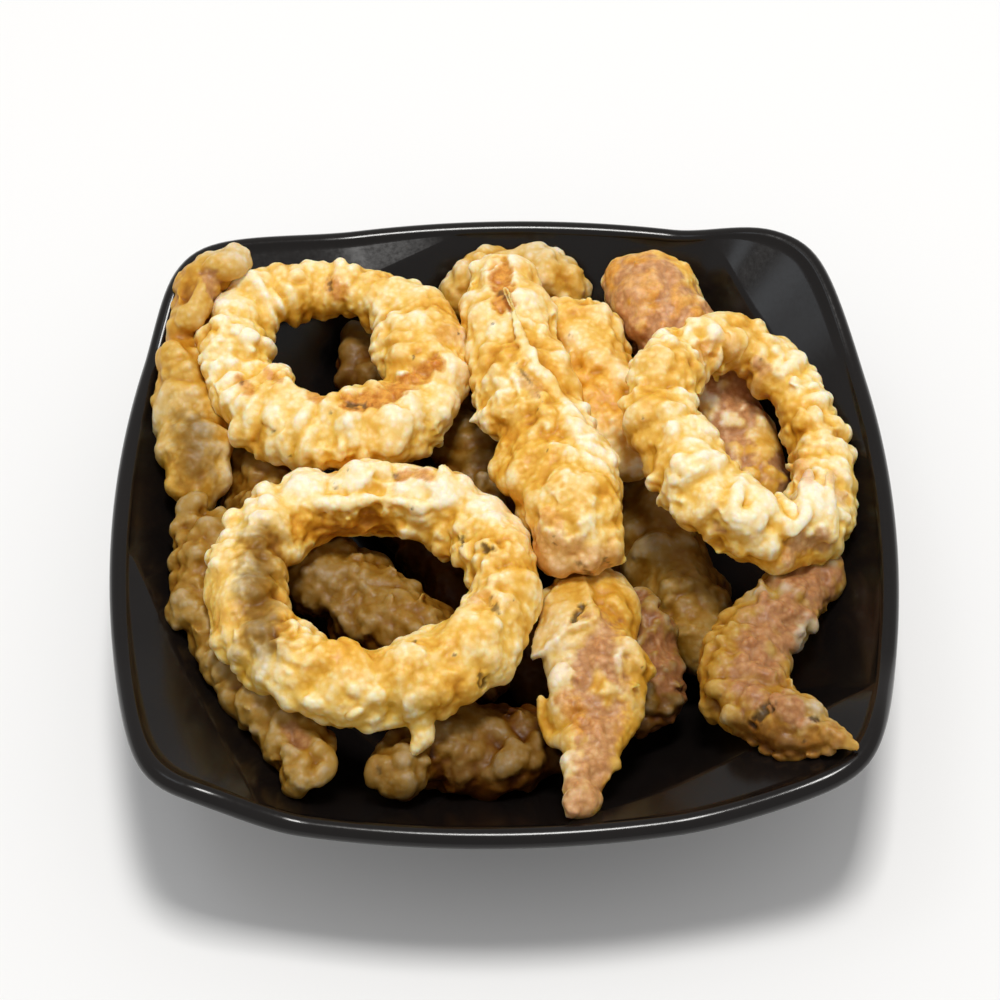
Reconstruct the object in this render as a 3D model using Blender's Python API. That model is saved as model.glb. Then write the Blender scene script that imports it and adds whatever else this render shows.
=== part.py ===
"""Fried calamari heaped in a square pinwheel dish.

The dish is a glazed square bowl with bulged sides. A wedge-shaped ledge fills each corner, and its inner
edge runs on into the next side's rim, so the four ledges turn like a pinwheel. The food is three battered
squid rings and fourteen strips and tentacles that lie in the dish and on each other.

Metres, +Z up. The origin is on the table, under the dish's centre, and -Y is the side that the diner sees.
"""

import math
from dataclasses import dataclass

import bmesh
import bpy
import numpy as np
from mathutils import Vector, noise
from mathutils.bvhtree import BVHTree

MM = 0.001

# Dish
HALF_WIDTH = 90.0 * MM          # centre to the middle of a side, at the rim's outer edge
SIDE_RADIUS = 250.0 * MM        # each side is an arc of this radius
CORNER_SHARPNESS = 24.0         # power of the smooth minimum that rounds the corners
RIM_HEIGHT = 40.0 * MM          # rim's top at the middle of a side
CORNER_RISE = 5.7 * MM          # how much higher the rim is at a corner
LIP_WIDTH = 4.6 * MM
LIP_FALL = 1.4 * MM             # how far the well's edge lies below the rim's top
LEDGE_DISTANCE = 82.0 * MM      # centre to the line of a ledge's inner edge
LEDGE_TWIST = 25.0              # degrees that this line's normal is turned from the side's
LEDGE_SLOPE = 0.45              # fall of a ledge for each unit of its width
WALL_THICKNESS = 3.4 * MM
WALL_SAG = 1.6 * MM             # how far the well's wall hangs below a straight slope
FLOOR_HALF_WIDTH = 46.0 * MM
FLOOR_TWIST = 12.0              # degrees that the floor's square is turned
FLOOR_TOP = 5.6 * MM
FOOT_OUTER = 0.94               # the foot ring's outline, as a share of the floor's
FOOT_INNER = 0.84
FOOT_DEPTH = 2.0 * MM
FOOT_FLARE = 0.6 * MM           # how much further out the foot ring reaches where it meets the dish
FLOOR_BULGE = 3.0               # radius of the floor's sides over its half width
FLOOR_SHARPNESS = 12.0
RISE_ANGLES = (22.0, 47.0)      # degrees past a side's middle where the rim starts and ends its rise
DROP_ANGLES = (49.0, 63.0)      # and its drop
DISH_STEPS = 80                 # points round each outline of the dish
CREASE_ANGLE = 57.0             # degrees past a side's middle where its ledge begins
FLOOR_SHARE = 0.55              # an outline on the floor, as a share of the floor's own
# Outlines on the wall, from its floor (0) to its edge (1), and those under it.
WALL_SHARES = (0.0, 0.12, 0.4, 0.7, 0.94)
UNDER_SHARES = (0.62, 0.12)
UNDER_DROP = 1.3                # how far they lie below the wall's upper side, in wall thicknesses
EDGE_INSET = 0.6 * MM           # how far in from the wall's edge the outline under it lies
EDGE_DROP = 1.25                # how far below the edge, in wall thicknesses
# The rolled rim from the inside out: how far in from its edge and how far below its top, in millimetres.
RIM_PROFILE = ((4.5, 1.2), (3.8, 0.35), (2.1, 0.0), (0.5, 1.0), (0.0, 2.2), (0.9, 3.6))

# Food
CLEARANCE = 0.5 * MM            # gap kept where pieces touch
STATION_SPACING = 3.8 * MM      # distance between cross-sections along a piece
SECTION_POINTS = 10             # points round each cross-section
LUMP_SIZE = 8.0 * MM            # spacing of the batter's larger lumps
LUMP_DEPTH = 0.38               # their greatest depth, as a share of the piece's half width
LUMP_SHIFT = (11.0, 5.0, 3.0)   # how far the lumps move on from one seed to the next
CURVE_STEPS = 24                # fine points between two given points of a centre line
END_ROUNDING = 0.12             # least square of an end section's size, as a share of the full one
TIP_LENGTH = 0.35               # how far a strip's tip stands out, in half widths of its last section
PRESS_ROUNDS = 14
UPPER_SHARE = 0.3               # part of an overlap that the upper of two pieces gives way by
LOWER_SHARE = 0.7
PRESS_REACH = 14.0 * MM         # how far another piece's surface is looked for
LEAST_SHARE = 0.25              # least of a half width that a dent leaves
SHARE_STEP = 0.1                # how much less a point may be dented than the points beside it
LEAST_REACH = 0.5 * MM          # a shorter offset is dented as if it had this length

BATTER = ("batter", (0.86, 0.58, 0.24, 1.0), 0.55)
SKIN = ("skin", (0.55, 0.30, 0.17, 1.0), 0.5)
GLAZE = ("black_glaze", (0.012, 0.011, 0.011, 1.0), 0.22)


@dataclass
class Piece:
    """A ring or a strip of battered squid.

    Each point of its centre line is x, y, z and the half width there, in millimetres. A ring's first point
    is its right one and the rest follow anticlockwise. A strip runs from its back end to its front end.
    """

    name: str
    spine: tuple
    flatness: float = 0.85      # half height over half width
    finish: tuple = BATTER
    closed: bool = False
    seed: int = 0


# Pieces that lie on top come first, because the ones below give way to them.
PIECES = (
    Piece("ring_front_left", ((-0.5, -28, 44, 8.2), (-8, -9, 43, 9), (-30, -1, 43, 8.6),
                              (-50, -8, 43, 8.4), (-58.5, -27, 44, 8.6), (-49, -46, 45, 8.4),
                              (-29, -54, 45, 8), (-9, -47, 45, 8.4)),
          flatness=0.98, closed=True, seed=1),
    Piece("ring_back_left", ((-18, 40, 43, 11), (-24, 57, 42, 9), (-42, 65, 42, 6.8),
                             (-58, 60, 43, 7.8), (-65, 45, 44, 8.9), (-57.5, 26, 44, 9.2),
                             (-39, 17.5, 44, 9.6), (-22.5, 23, 44, 10.8)),
          flatness=0.85, closed=True, seed=2),
    Piece("ring_right", ((75, 7, 40, 7), (70, 29, 41, 6.6), (58, 43, 44, 7), (44, 36, 49, 7.6),
                         (36, 16, 52, 8.4), (45, -4, 50, 8.4), (56, -14, 46, 8.6),
                         (69.5, -10.5, 41, 8.4)),
          flatness=0.85, closed=True, seed=3),
    Piece("strip_centre", ((0, 69, 45, 6.5), (0.5, 60, 47, 8.6), (1.5, 48, 48, 10.4), (5.5, 30, 48, 11.4),
                           (10, 11, 48, 12), (15, -7, 48, 13), (18, -24, 46, 11.5)), flatness=0.75, seed=4),
    Piece("tail_front", ((20, -16, 35, 9), (19, -31, 37, 11), (20, -46, 38, 11), (20, -59, 37, 8),
                         (17, -73, 38, 4.6), (14, -83, 40, 2.2)), flatness=0.65, finish=SKIN, seed=5),
    Piece("tentacle_right", ((74.5, -9.5, 31.3, 4), (71, -16.5, 32.5, 6), (63, -27.5, 34.5, 7.6),
                             (54, -38, 35.5, 9), (51.5, -50, 37.5, 9), (57, -60, 41, 7.8),
                             (65.5, -67, 45, 4.8), (72, -71, 48.5, 2.4)),
          flatness=0.7, finish=SKIN, seed=6),
    Piece("strip_left_back", ((-61, 67, 49, 5.5), (-70, 65, 48, 6), (-74, 55, 44, 6.5), (-74, 41, 41, 7.5),
                              (-72.5, 24, 38, 8.5), (-69, 5, 35, 9)), flatness=0.9, seed=7),
    Piece("strip_left_front", ((-69, 1, 34, 7.5), (-66, -12, 34, 9.5), (-64, -29, 33, 10),
                               (-55, -46, 32, 9.5), (-46, -60, 33, 7), (-42.5, -73, 37, 5)),
          flatness=0.85, seed=8),
    Piece("strip_back", ((-13, 63, 36, 8), (-3, 69, 37, 9.5), (9, 71, 37, 9.5), (21, 66, 36, 7)),
          flatness=0.8, seed=9),
    Piece("strip_centre_right", ((14, 58, 43, 8), (18, 50, 41, 10.5), (22, 38, 40, 11), (26, 24, 38, 10),
                                 (29, 10, 37, 8)), flatness=0.8, seed=10),
    Piece("skin_strip_back", ((27, 70.5, 41, 9), (35, 65, 40, 12.5), (44, 52, 36, 12), (53, 36, 31, 9),
                              (59, 19, 27, 9), (62, 5, 26, 7)), flatness=0.75, finish=SKIN, seed=11),
    Piece("tentacle_centre", ((30, -23, 31, 5), (32, -31, 28, 6.5), (33, -42, 26, 7), (29.5, -53, 24, 6)),
          flatness=0.9, finish=SKIN, seed=12),
    Piece("tube_deep_right", ((32, 23, 19, 8), (35, 10, 17, 11), (39, -6, 16, 12), (43, -21, 18, 11),
                              (45, -34, 21, 8)), flatness=0.85, seed=13),
    Piece("strip_front", ((-23, -73, 34, 5), (-22, -62, 30, 7.5), (-12, -58, 26, 10), (2, -58, 24, 11),
                          (14, -57, 23, 9.5)), flatness=0.85, seed=14),
    Piece("strip_under_ring", ((-64, 22, 31, 7), (-57, 12, 30, 9.5), (-46, -7, 28, 10), (-31, -22, 28, 10.5),
                               (-15, -32, 27, 10), (-2, -43, 26, 8)), flatness=0.85, seed=15),
    Piece("strip_deep_left", ((-36, 62, 30, 6), (-32, 50, 27, 7.5), (-22, 40, 27, 8), (-12, 31, 28, 8.5),
                              (-5, 16, 27, 8.5), (-3, 0, 25, 8), (-1, -14, 23, 7)), flatness=0.85, seed=16),
    Piece("strip_floor", ((-34, 36, 16, 8), (-24, 20, 15, 9.5), (-14, 0, 15, 9.5), (-2, -18, 15, 9.5),
                          (12, -36, 17, 8)), flatness=0.9, seed=17),
)


def clear_scene():
    for obj in list(bpy.data.objects):
        bpy.data.objects.remove(obj)


def finish_material(name, colour, roughness):
    material = bpy.data.materials.get(name)
    if material is None:
        material = bpy.data.materials.new(name)
        material.use_nodes = True
        shader = material.node_tree.nodes["Principled BSDF"]
        shader.inputs["Base Color"].default_value = colour
        shader.inputs["Roughness"].default_value = roughness
    return material


def add_object(name, mesh, finish):
    mesh.shade_smooth()
    mesh.materials.append(finish_material(*finish))
    obj = bpy.data.objects.new(name, mesh)
    bpy.context.scene.collection.objects.link(obj)
    return obj


def smoothstep(low, high, value):
    t = min(max((value - low) / (high - low), 0.0), 1.0)
    return t * t * (3.0 - 2.0 * t)


def past_side(angle):
    """Degrees from the middle of the side that this angle belongs to, from 0 up to 90, anticlockwise."""
    return math.degrees(angle) % 90.0


def bulged_square(angle, half_width, bulge_radius, sharpness):
    """Distance from the centre to a square outline whose sides are arcs and whose corners are rounded."""
    offset = bulge_radius - half_width
    total = 0.0
    for side in range(4):
        turned = angle - side * math.pi / 2
        reach = -offset * math.cos(turned) + math.sqrt(bulge_radius**2 - (offset * math.sin(turned))**2)
        total += reach**-sharpness
    return total**(-1.0 / sharpness)


def rim_radius(angle):
    return bulged_square(angle, HALF_WIDTH, SIDE_RADIUS, CORNER_SHARPNESS)


def rim_height(angle):
    """The rim rises gently towards a corner and drops quickly where the next ledge begins."""
    turn = past_side(angle)
    bump = smoothstep(*RISE_ANGLES, turn) * (1.0 - smoothstep(*DROP_ANGLES, turn))
    return RIM_HEIGHT + CORNER_RISE * bump


def well_radius(angle):
    """The well's edge: the inner edge of the lip, cut across each corner by the straight edge of a ledge."""
    reach = rim_radius(angle) - LIP_WIDTH
    for side in range(4):
        lean = math.cos(angle - math.radians(90.0 * side + LEDGE_TWIST))
        if lean > 0.0:
            reach = min(reach, LEDGE_DISTANCE / lean)
    return reach


def well_height(angle):
    ledge = rim_radius(angle) - LIP_WIDTH - well_radius(angle)
    return rim_height(angle) - LIP_FALL - LEDGE_SLOPE * ledge


def floor_radius(angle):
    turned = angle - math.radians(FLOOR_TWIST)
    return bulged_square(turned, FLOOR_HALF_WIDTH, FLOOR_BULGE * FLOOR_HALF_WIDTH, FLOOR_SHARPNESS)


def wall_point(angle, share):
    """Radius and height on the well's inner wall, from its floor (share 0) to its edge (share 1)."""
    radius = floor_radius(angle) + share * (well_radius(angle) - floor_radius(angle))
    sag = WALL_SAG * math.sin(math.pi * share)
    height = FLOOR_TOP + share * (well_height(angle) - FLOOR_TOP) - sag
    return radius, height


def dish_stations(angle):
    """Radius and height of each outline of the dish at this angle.

    They run from the floor's centre out over the rim and back underneath.
    """
    rim, top = rim_radius(angle), rim_height(angle)
    floor, under = floor_radius(angle), FLOOR_TOP - WALL_THICKNESS
    inside = [(FLOOR_SHARE * floor, FLOOR_TOP)]
    inside += [wall_point(angle, share) for share in WALL_SHARES]
    edge = wall_point(angle, 1.0)
    inside.append(edge)
    rolled_rim = [(rim - inset * MM, top - drop * MM) for inset, drop in RIM_PROFILE]
    outside = [(edge[0] - EDGE_INSET, edge[1] - EDGE_DROP * WALL_THICKNESS)]
    for share in UNDER_SHARES:
        radius, height = wall_point(angle, share)
        outside.append((radius, height - UNDER_DROP * WALL_THICKNESS))
    outside += [
        (FOOT_OUTER * floor + FOOT_FLARE, under),
        (FOOT_OUTER * floor, 0.0),
        (FOOT_INNER * floor, 0.0),
        (FOOT_INNER * floor - FOOT_FLARE, FOOT_DEPTH),
    ]
    return inside + rolled_rim + outside


def build_dish():
    """The dish is one skin lofted through its outlines, closed by a fan over the floor and one under it."""
    bm = bmesh.new()
    turn = 2.0 * math.pi / DISH_STEPS
    start = math.radians(CREASE_ANGLE)
    rows = []
    for step in range(DISH_STEPS):
        angle = start + step * turn
        rows.append([
            bm.verts.new((radius * math.cos(angle), radius * math.sin(angle), height))
            for radius, height in dish_stations(angle)
        ])
    floor_centre = bm.verts.new((0.0, 0.0, FLOOR_TOP))
    under_centre = bm.verts.new((0.0, 0.0, FOOT_DEPTH))
    for step, row in enumerate(rows):
        after = rows[(step + 1) % DISH_STEPS]
        bm.faces.new((floor_centre, row[0], after[0]))
        bm.faces.new((under_centre, after[-1], row[-1]))
        for k in range(len(row) - 1):
            bm.faces.new((row[k], row[k + 1], after[k + 1], after[k]))
    bmesh.ops.recalc_face_normals(bm, faces=bm.faces)
    mesh = bpy.data.meshes.new("dish")
    bm.to_mesh(mesh)
    bm.free()
    return add_object("dish", mesh, GLAZE)


def catmull_rom(points, closed):
    """Points on the smooth curve through the given ones, evenly spaced along it.

    Each row holds x, y, z and a size. With them come how far along the curve each lies, and its length.
    """
    points = np.array(points, float)
    if closed:
        padded = np.vstack([points[-1], points, points[0], points[1]])
    else:
        padded = np.vstack([2 * points[0] - points[1], points, 2 * points[-1] - points[-2]])
    fine = []
    for k in range(1, len(padded) - 2):
        a, b, c, d = padded[k - 1:k + 3]
        for t in np.linspace(0.0, 1.0, CURVE_STEPS, endpoint=False):
            square = (2 * a - 5 * b + 4 * c - d) * t**2
            cube = (3 * b - a - 3 * c + d) * t**3
            fine.append(0.5 * (2 * b + (c - a) * t + square + cube))
    fine.append(padded[-2])
    fine = np.array(fine)
    along = np.concatenate([[0.0], np.cumsum(np.linalg.norm(np.diff(fine[:, :3], axis=0), axis=1))])
    count = max(4, round(along[-1] / STATION_SPACING))
    at = np.linspace(0.0, along[-1], count + (0 if closed else 1), endpoint=not closed)
    rows = np.stack([np.interp(at, along, fine[:, k]) for k in range(fine.shape[1])], axis=1)
    return rows, at, along[-1]


def plane_normal(points):
    """Upward normal of the plane that a ring's centre line lies in, more or less."""
    centre = sum(points, Vector()) / len(points)
    normal = Vector()
    for before, after in zip(points, points[1:] + points[:1]):
        normal += (before - centre).cross(after - centre)
    return normal.normalized()


def lump(point, seed):
    """Height of the batter's lumps at a point, from -1 to 1."""
    return noise.noise(Vector(point) / LUMP_SIZE + Vector(LUMP_SHIFT) * seed)


def section_loop(centre, tangent, up, half_width, half_height, seed):
    """One cross-section: an oval across the piece, roughened by the lumps."""
    side = tangent.cross(up).normalized()
    rise = side.cross(tangent).normalized()
    loop = []
    for k in range(SECTION_POINTS):
        angle = 2.0 * math.pi * k / SECTION_POINTS
        offset = side * half_width * math.cos(angle) + rise * half_height * math.sin(angle)
        grow = 1.0 + LUMP_DEPTH * lump(centre + offset, seed)
        loop.append(centre + offset * grow)
    return loop


def sweep(piece):
    """The cross-sections of a piece along its centre line. A strip's ends are rounded off."""
    rows = [tuple(value * MM for value in point) for point in piece.spine]
    up = Vector((0.0, 0.0, 1.0))
    if piece.closed:
        up = plane_normal([Vector(row[:3]) for row in rows])
    line, at, length = catmull_rom(rows, piece.closed)
    middles, loops, tangents = [], [], []
    count = len(line)
    for k, (x, y, z, size) in enumerate(line):
        before = line[(k - 1) % count] if piece.closed else line[max(k - 1, 0)]
        after = line[(k + 1) % count] if piece.closed else line[min(k + 1, count - 1)]
        tangent = Vector(after[:3] - before[:3]).normalized()
        if not piece.closed:
            to_end = min(at[k], length - at[k]) / size
            size *= math.sqrt(max(END_ROUNDING, 1.0 - (1.0 - min(to_end, 1.0))**2))
        middles.append(Vector((x, y, z)))
        tangents.append(tangent)
        loops.append(section_loop(middles[-1], tangent, up, size, size * piece.flatness, piece.seed))
    return middles, loops, tangents


@dataclass
class Body:
    """A piece before it becomes a mesh. A point is its centre, on the piece's centre line, plus an offset."""

    piece: Piece
    centres: list
    offsets: list
    faces: list
    around: list                # for each point, the points beside it
    shares: list                # for each point, how much of its offset is left

    def points(self):
        parts = zip(self.centres, self.offsets, self.shares)
        return [centre + offset * share for centre, offset, share in parts]


def body_of(piece):
    """The skin of a piece through its cross-sections, as triangles. A strip has a blunt tip at each end."""
    middles, loops, tangents = sweep(piece)
    centres, offsets, faces = [], [], []
    for middle, loop in zip(middles, loops):
        centres += [middle] * SECTION_POINTS
        offsets += [point - middle for point in loop]
    count = len(loops)
    for row in range(count if piece.closed else count - 1):
        after = (row + 1) % count
        for k in range(SECTION_POINTS):
            nxt = (k + 1) % SECTION_POINTS
            a, b = row * SECTION_POINTS + k, after * SECTION_POINTS + k
            c, d = after * SECTION_POINTS + nxt, row * SECTION_POINTS + nxt
            faces += [(a, b, c), (a, c, d)]
    if not piece.closed:
        for row, way in ((0, -1.0), (count - 1, 1.0)):
            tip = len(centres)
            section = offsets[row * SECTION_POINTS:(row + 1) * SECTION_POINTS]
            reach = sum(offset.length for offset in section) / SECTION_POINTS
            centres.append(middles[row])
            offsets.append(tangents[row] * way * TIP_LENGTH * reach)
            for k in range(SECTION_POINTS):
                a, b = row * SECTION_POINTS + k, row * SECTION_POINTS + (k + 1) % SECTION_POINTS
                faces.append((tip, a, b) if way < 0.0 else (tip, b, a))
    around = [set() for _ in centres]
    for face in faces:
        for index in face:
            around[index].update(face)
    return Body(piece, centres, offsets, faces, around, [1.0] * len(centres))


def body_mesh(body):
    bm = bmesh.new()
    verts = [bm.verts.new(point) for point in body.points()]
    for face in body.faces:
        bm.faces.new([verts[index] for index in face])
    bmesh.ops.recalc_face_normals(bm, faces=bm.faces)
    mesh = bpy.data.meshes.new(body.piece.name)
    bm.to_mesh(mesh)
    bm.free()
    return mesh


def too_near_food(point, tree):
    """How much further this point has to be from another piece's surface, or 0 where it is clear."""
    place, normal, _, _ = tree.find_nearest(point, PRESS_REACH)
    if place is None:
        return 0.0
    away = (point - place).length
    if (point - place).dot(normal) < 0.0:
        away = -away
    return max(CLEARANCE - away, 0.0)


def too_near_dish(point, tree):
    """How much further this point has to be above the dish's upper surface, or 0 where it is clear."""
    place, normal, _, _ = tree.ray_cast(Vector((point.x, point.y, 1.0)), Vector((0.0, 0.0, -1.0)))
    if place is None:
        return 0.0
    return max(CLEARANCE - (point.z - place.z) * normal.z, 0.0)


def boxes_meet(first, second):
    low = [max(min(p[k] for p in first), min(p[k] for p in second)) for k in range(3)]
    high = [min(max(p[k] for p in first), max(p[k] for p in second)) for k in range(3)]
    return all(a - CLEARANCE < b for a, b in zip(low, high))


def middle_of(points, face):
    return sum((points[index] for index in face), Vector()) / len(face)


def pinch(body, needs):
    """Draws the points in towards the centre line by what the samples near them need."""
    for index, need in needs.items():
        length = max(body.offsets[index].length, LEAST_REACH)
        body.shares[index] = max(LEAST_SHARE, body.shares[index] - need / length)
    for index, near in enumerate(body.around):
        mean = sum(body.shares[k] for k in near) / len(near)
        body.shares[index] = min(body.shares[index], mean + SHARE_STEP)


def settle(bodies, dish_mesh):
    """Dents each piece where it meets the dish or another piece, so that no two solids overlap.

    A piece that lies lower gives way more than the one on top of it.
    """
    dish_mesh.calc_loop_triangles()
    triangles = [tuple(triangle.vertices) for triangle in dish_mesh.loop_triangles]
    dish_tree = BVHTree.FromPolygons([vertex.co.copy() for vertex in dish_mesh.vertices], triangles)
    for _ in range(PRESS_ROUNDS):
        placed = [body.points() for body in bodies]
        trees = [BVHTree.FromPolygons(points, body.faces) for points, body in zip(placed, bodies)]
        moves = []
        for i, (body, points) in enumerate(zip(bodies, placed)):
            others = [
                (trees[k], UPPER_SHARE if i < k else LOWER_SHARE)
                for k in range(len(bodies))
                if k != i and boxes_meet(points, placed[k])
            ]
            needs = {}
            samples = [((k,), point) for k, point in enumerate(points)]
            samples += [(face, middle_of(points, face)) for face in body.faces]
            for indices, point in samples:
                need = too_near_dish(point, dish_tree)
                for tree, part in others:
                    need = max(need, part * too_near_food(point, tree))
                if need > 0.0:
                    for index in indices:
                        needs[index] = max(needs.get(index, 0.0), need)
            moves.append(needs)
        for body, needs in zip(bodies, moves):
            pinch(body, needs)


def main():
    clear_scene()
    dish = build_dish()
    bodies = [body_of(piece) for piece in PIECES]
    settle(bodies, dish.data)
    for body in bodies:
        add_object(body.piece.name, body_mesh(body), body.piece.finish)


main()
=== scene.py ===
import itertools
import math
from dataclasses import dataclass

import bmesh
import bpy
import numpy as np
from mathutils import Matrix, Vector
from mathutils.bvhtree import BVHTree
from mathutils.kdtree import KDTree


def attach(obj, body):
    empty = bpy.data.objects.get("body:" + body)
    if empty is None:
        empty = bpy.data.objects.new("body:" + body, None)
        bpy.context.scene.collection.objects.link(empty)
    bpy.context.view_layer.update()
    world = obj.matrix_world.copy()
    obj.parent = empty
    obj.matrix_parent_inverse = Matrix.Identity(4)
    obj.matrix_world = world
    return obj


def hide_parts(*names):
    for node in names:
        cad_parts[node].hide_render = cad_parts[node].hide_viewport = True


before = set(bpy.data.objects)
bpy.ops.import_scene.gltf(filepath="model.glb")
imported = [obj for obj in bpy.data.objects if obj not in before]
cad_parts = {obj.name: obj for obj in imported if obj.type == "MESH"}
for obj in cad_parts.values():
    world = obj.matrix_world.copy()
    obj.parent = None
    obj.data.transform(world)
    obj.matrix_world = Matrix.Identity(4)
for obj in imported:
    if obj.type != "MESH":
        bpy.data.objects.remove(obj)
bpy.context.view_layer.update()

MM = 0.001

# Camera
TILT = 0.913                    # radians that it looks down
ROLL = 0.017
DISTANCE = 593.5 * MM           # from the middle of the rim
AIM_HEIGHT = 41.5 * MM
FOCAL_PIXELS = 2585.1           # focal length, in pixels of a 1000 pixel wide picture
SHIFT_X = -0.0027
SHIFT_Y = -0.00293

# Dish, the same sizes as the solid's
HALF_WIDTH = 90.0 * MM
SIDE_RADIUS = 250.0 * MM
CORNER_SHARPNESS = 24.0
RIM_HEIGHT = 40.0 * MM
CORNER_RISE = 5.7 * MM
LIP_WIDTH = 4.6 * MM
LIP_FALL = 1.4 * MM
LEDGE_DISTANCE = 82.0 * MM
LEDGE_TWIST = 25.0
LEDGE_SLOPE = 0.45
WALL_THICKNESS = 3.4 * MM
WALL_SAG = 1.6 * MM
FLOOR_HALF_WIDTH = 46.0 * MM
FLOOR_TWIST = 12.0
FLOOR_TOP = 5.6 * MM
FOOT_OUTER = 0.94
FOOT_INNER = 0.84
FOOT_DEPTH = 2.0 * MM
CREASE_ANGLE = 57.0
WALL_SHARES = (0.0, 0.05, 0.12, 0.22, 0.33, 0.44, 0.55, 0.66, 0.76, 0.85, 0.92, 0.97)
RIM_PROFILE = ((4.5, 1.2), (4.1, 0.6), (3.6, 0.25), (2.9, 0.05), (2.1, 0.0), (1.4, 0.2), (0.75, 0.65),
               (0.25, 1.3), (0.0, 2.1), (0.1, 2.8), (0.45, 3.3), (0.9, 3.6))
DISH_STEPS = 320

FLOOR_SHARES = (0.3, 0.6, 0.85)
LIP_SHARES = (0.0, 0.06, 0.3, 0.6, 0.88)
UNDER_SHARES = (0.8, 0.62, 0.4, 0.2, 0.12)

# Batter
SWELL = 0.35 * MM               # how far a piece is let out to make up for the rounding of its facets
FLAT_SHARE = 0.34               # least half height of a lobe, as a share of its width
LOBE_WIDTHS = (5.0, 10.0)       # mm
LOBE_RELIEF = 1.3
LOBE_PATCH = 22.0               # mm across the patches where the lobes lie
KNOB_WIDTHS = (1.8, 4.5)
KNOB_RELIEF = 1.25
KNOB_PATCH = 12.0
CRUMB_RADIUS = 0.4
CRUMB_STRENGTH = 0.8
SWELL_SIZE = 1.9                # the broad swells under the puffs, as a share of the puffs' size and relief
SWELL_RELIEF = 0.7
SWELL_CRISPNESS = 5.0
PUFF_CRISPNESS = 7.5
BEAD_SIZE = 2.1                 # mm across the fine beads on the puffs
BEAD_CRISPNESS = 6.0
GRAIN_SIZE = 1.2                # mm
GRAIN_RELIEF = 0.09
CALM_FROM, CALM_TO = 0.8, 2.2   # mm outside the solid where lumps get lower, as they already stand out there
CALM_SHARE = 0.65
NEAREST = 6                     # how many of the solid's points say where the middle of a piece is
SHADY_FROM, SHADY_TO = 16.0, 40.0   # mm above the table, where the food's painted shade is darkest and where the food is full bright


def smoothstep(low, high, value):
    t = np.clip((value - low) / (high - low), 0.0, 1.0)
    return t * t * (3.0 - 2.0 * t)


# Camera

def camera_axes():
    """Right, up and forward of the camera before its roll."""
    forward = Vector((0.0, math.cos(TILT), -math.sin(TILT)))
    up = Vector((0.0, math.sin(TILT), math.cos(TILT)))
    return Vector((1.0, 0.0, 0.0)), up, forward


def camera_place():
    return Vector((0.0, 0.0, AIM_HEIGHT)) - DISTANCE * camera_axes()[2]


def add_camera():
    right, up, forward = camera_axes()
    turned_right = right * math.cos(ROLL) - up * math.sin(ROLL)
    turned_up = right * math.sin(ROLL) + up * math.cos(ROLL)
    data = bpy.data.cameras.new("camera")
    data.sensor_width = 36.0
    data.lens = FOCAL_PIXELS / 1000.0 * 36.0
    data.shift_x = SHIFT_X
    data.shift_y = SHIFT_Y
    data.clip_start = 0.01
    camera = bpy.data.objects.new("camera", data)
    bpy.context.scene.collection.objects.link(camera)
    columns = Matrix((turned_right, turned_up, -forward)).transposed()
    camera.matrix_world = Matrix.Translation(camera_place()) @ columns.to_4x4()
    bpy.context.scene.camera = camera


def pixel_ray(x, y):
    """Direction from the camera through a pixel of the 1000 pixel wide picture."""
    right, up, forward = camera_axes()
    across = (x - 500.0) + SHIFT_X * 1000.0
    above = -(y - 500.0) + SHIFT_Y * 1000.0
    u = across * math.cos(ROLL) + above * math.sin(ROLL)
    v = -across * math.sin(ROLL) + above * math.cos(ROLL)
    return (forward + right * (u / FOCAL_PIXELS) + up * (v / FOCAL_PIXELS)).normalized()


def picture_places(points):
    """The pixel of each point, the other way round from pixel_ray."""
    right, up, forward = camera_axes()
    away = points - np.array(camera_place())
    deep = away @ np.array(forward)
    u = FOCAL_PIXELS * (away @ np.array(right)) / deep
    v = FOCAL_PIXELS * (away @ np.array(up)) / deep
    across = u * math.cos(ROLL) - v * math.sin(ROLL)
    above = u * math.sin(ROLL) + v * math.cos(ROLL)
    return np.stack([500.0 + across - SHIFT_X * 1000.0, 500.0 - above + SHIFT_Y * 1000.0], axis=1)


# Noise and smoothing on arrays of points

NOISE_TURN = np.array(Matrix.Rotation(0.7, 3, Vector((0.4, 1.0, 0.3))))


def noise_place(points, size, seed):
    """Where points lie in a grid of cells of the given size, turned and shifted by the seed."""
    return points @ NOISE_TURN / size + np.array((17.3, 5.1, 9.7)) * (seed + 1.0)


def mixed_bits(cell):
    """A whole number for each cell that looks random."""
    mixed = (cell[:, 0] * 73856093) ^ (cell[:, 1] * 19349663) ^ (cell[:, 2] * 83492791)
    mixed = (mixed ^ (mixed >> 13)) * 1274126177 & 0xFFFFFFFF
    return mixed ^ (mixed >> 15)


def three_numbers(mixed):
    """Three numbers from -1 to 1 out of each whole number."""
    return np.stack([mixed & 1023, mixed >> 10 & 1023, mixed >> 20 & 1023], axis=1) / 511.5 - 1.0


def noise(points, size, seed):
    """Smooth noise from about -1 to 1 at each point, in patches of about the given size."""
    place = noise_place(points, size, seed)
    cell = np.floor(place).astype(np.int64)
    part = place - cell
    fade = part * part * part * (part * (part * 6.0 - 15.0) + 10.0)
    total = np.zeros(len(points))
    for corner in itertools.product((0, 1), repeat=3):
        step = np.array(corner)
        slopes = three_numbers(mixed_bits(cell + step))
        weight = np.prod(np.where(step == 1, fade, 1.0 - fade), axis=1)
        total += weight * np.einsum("ij,ij->i", slopes, part - step)
    return 1.5 * total


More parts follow.
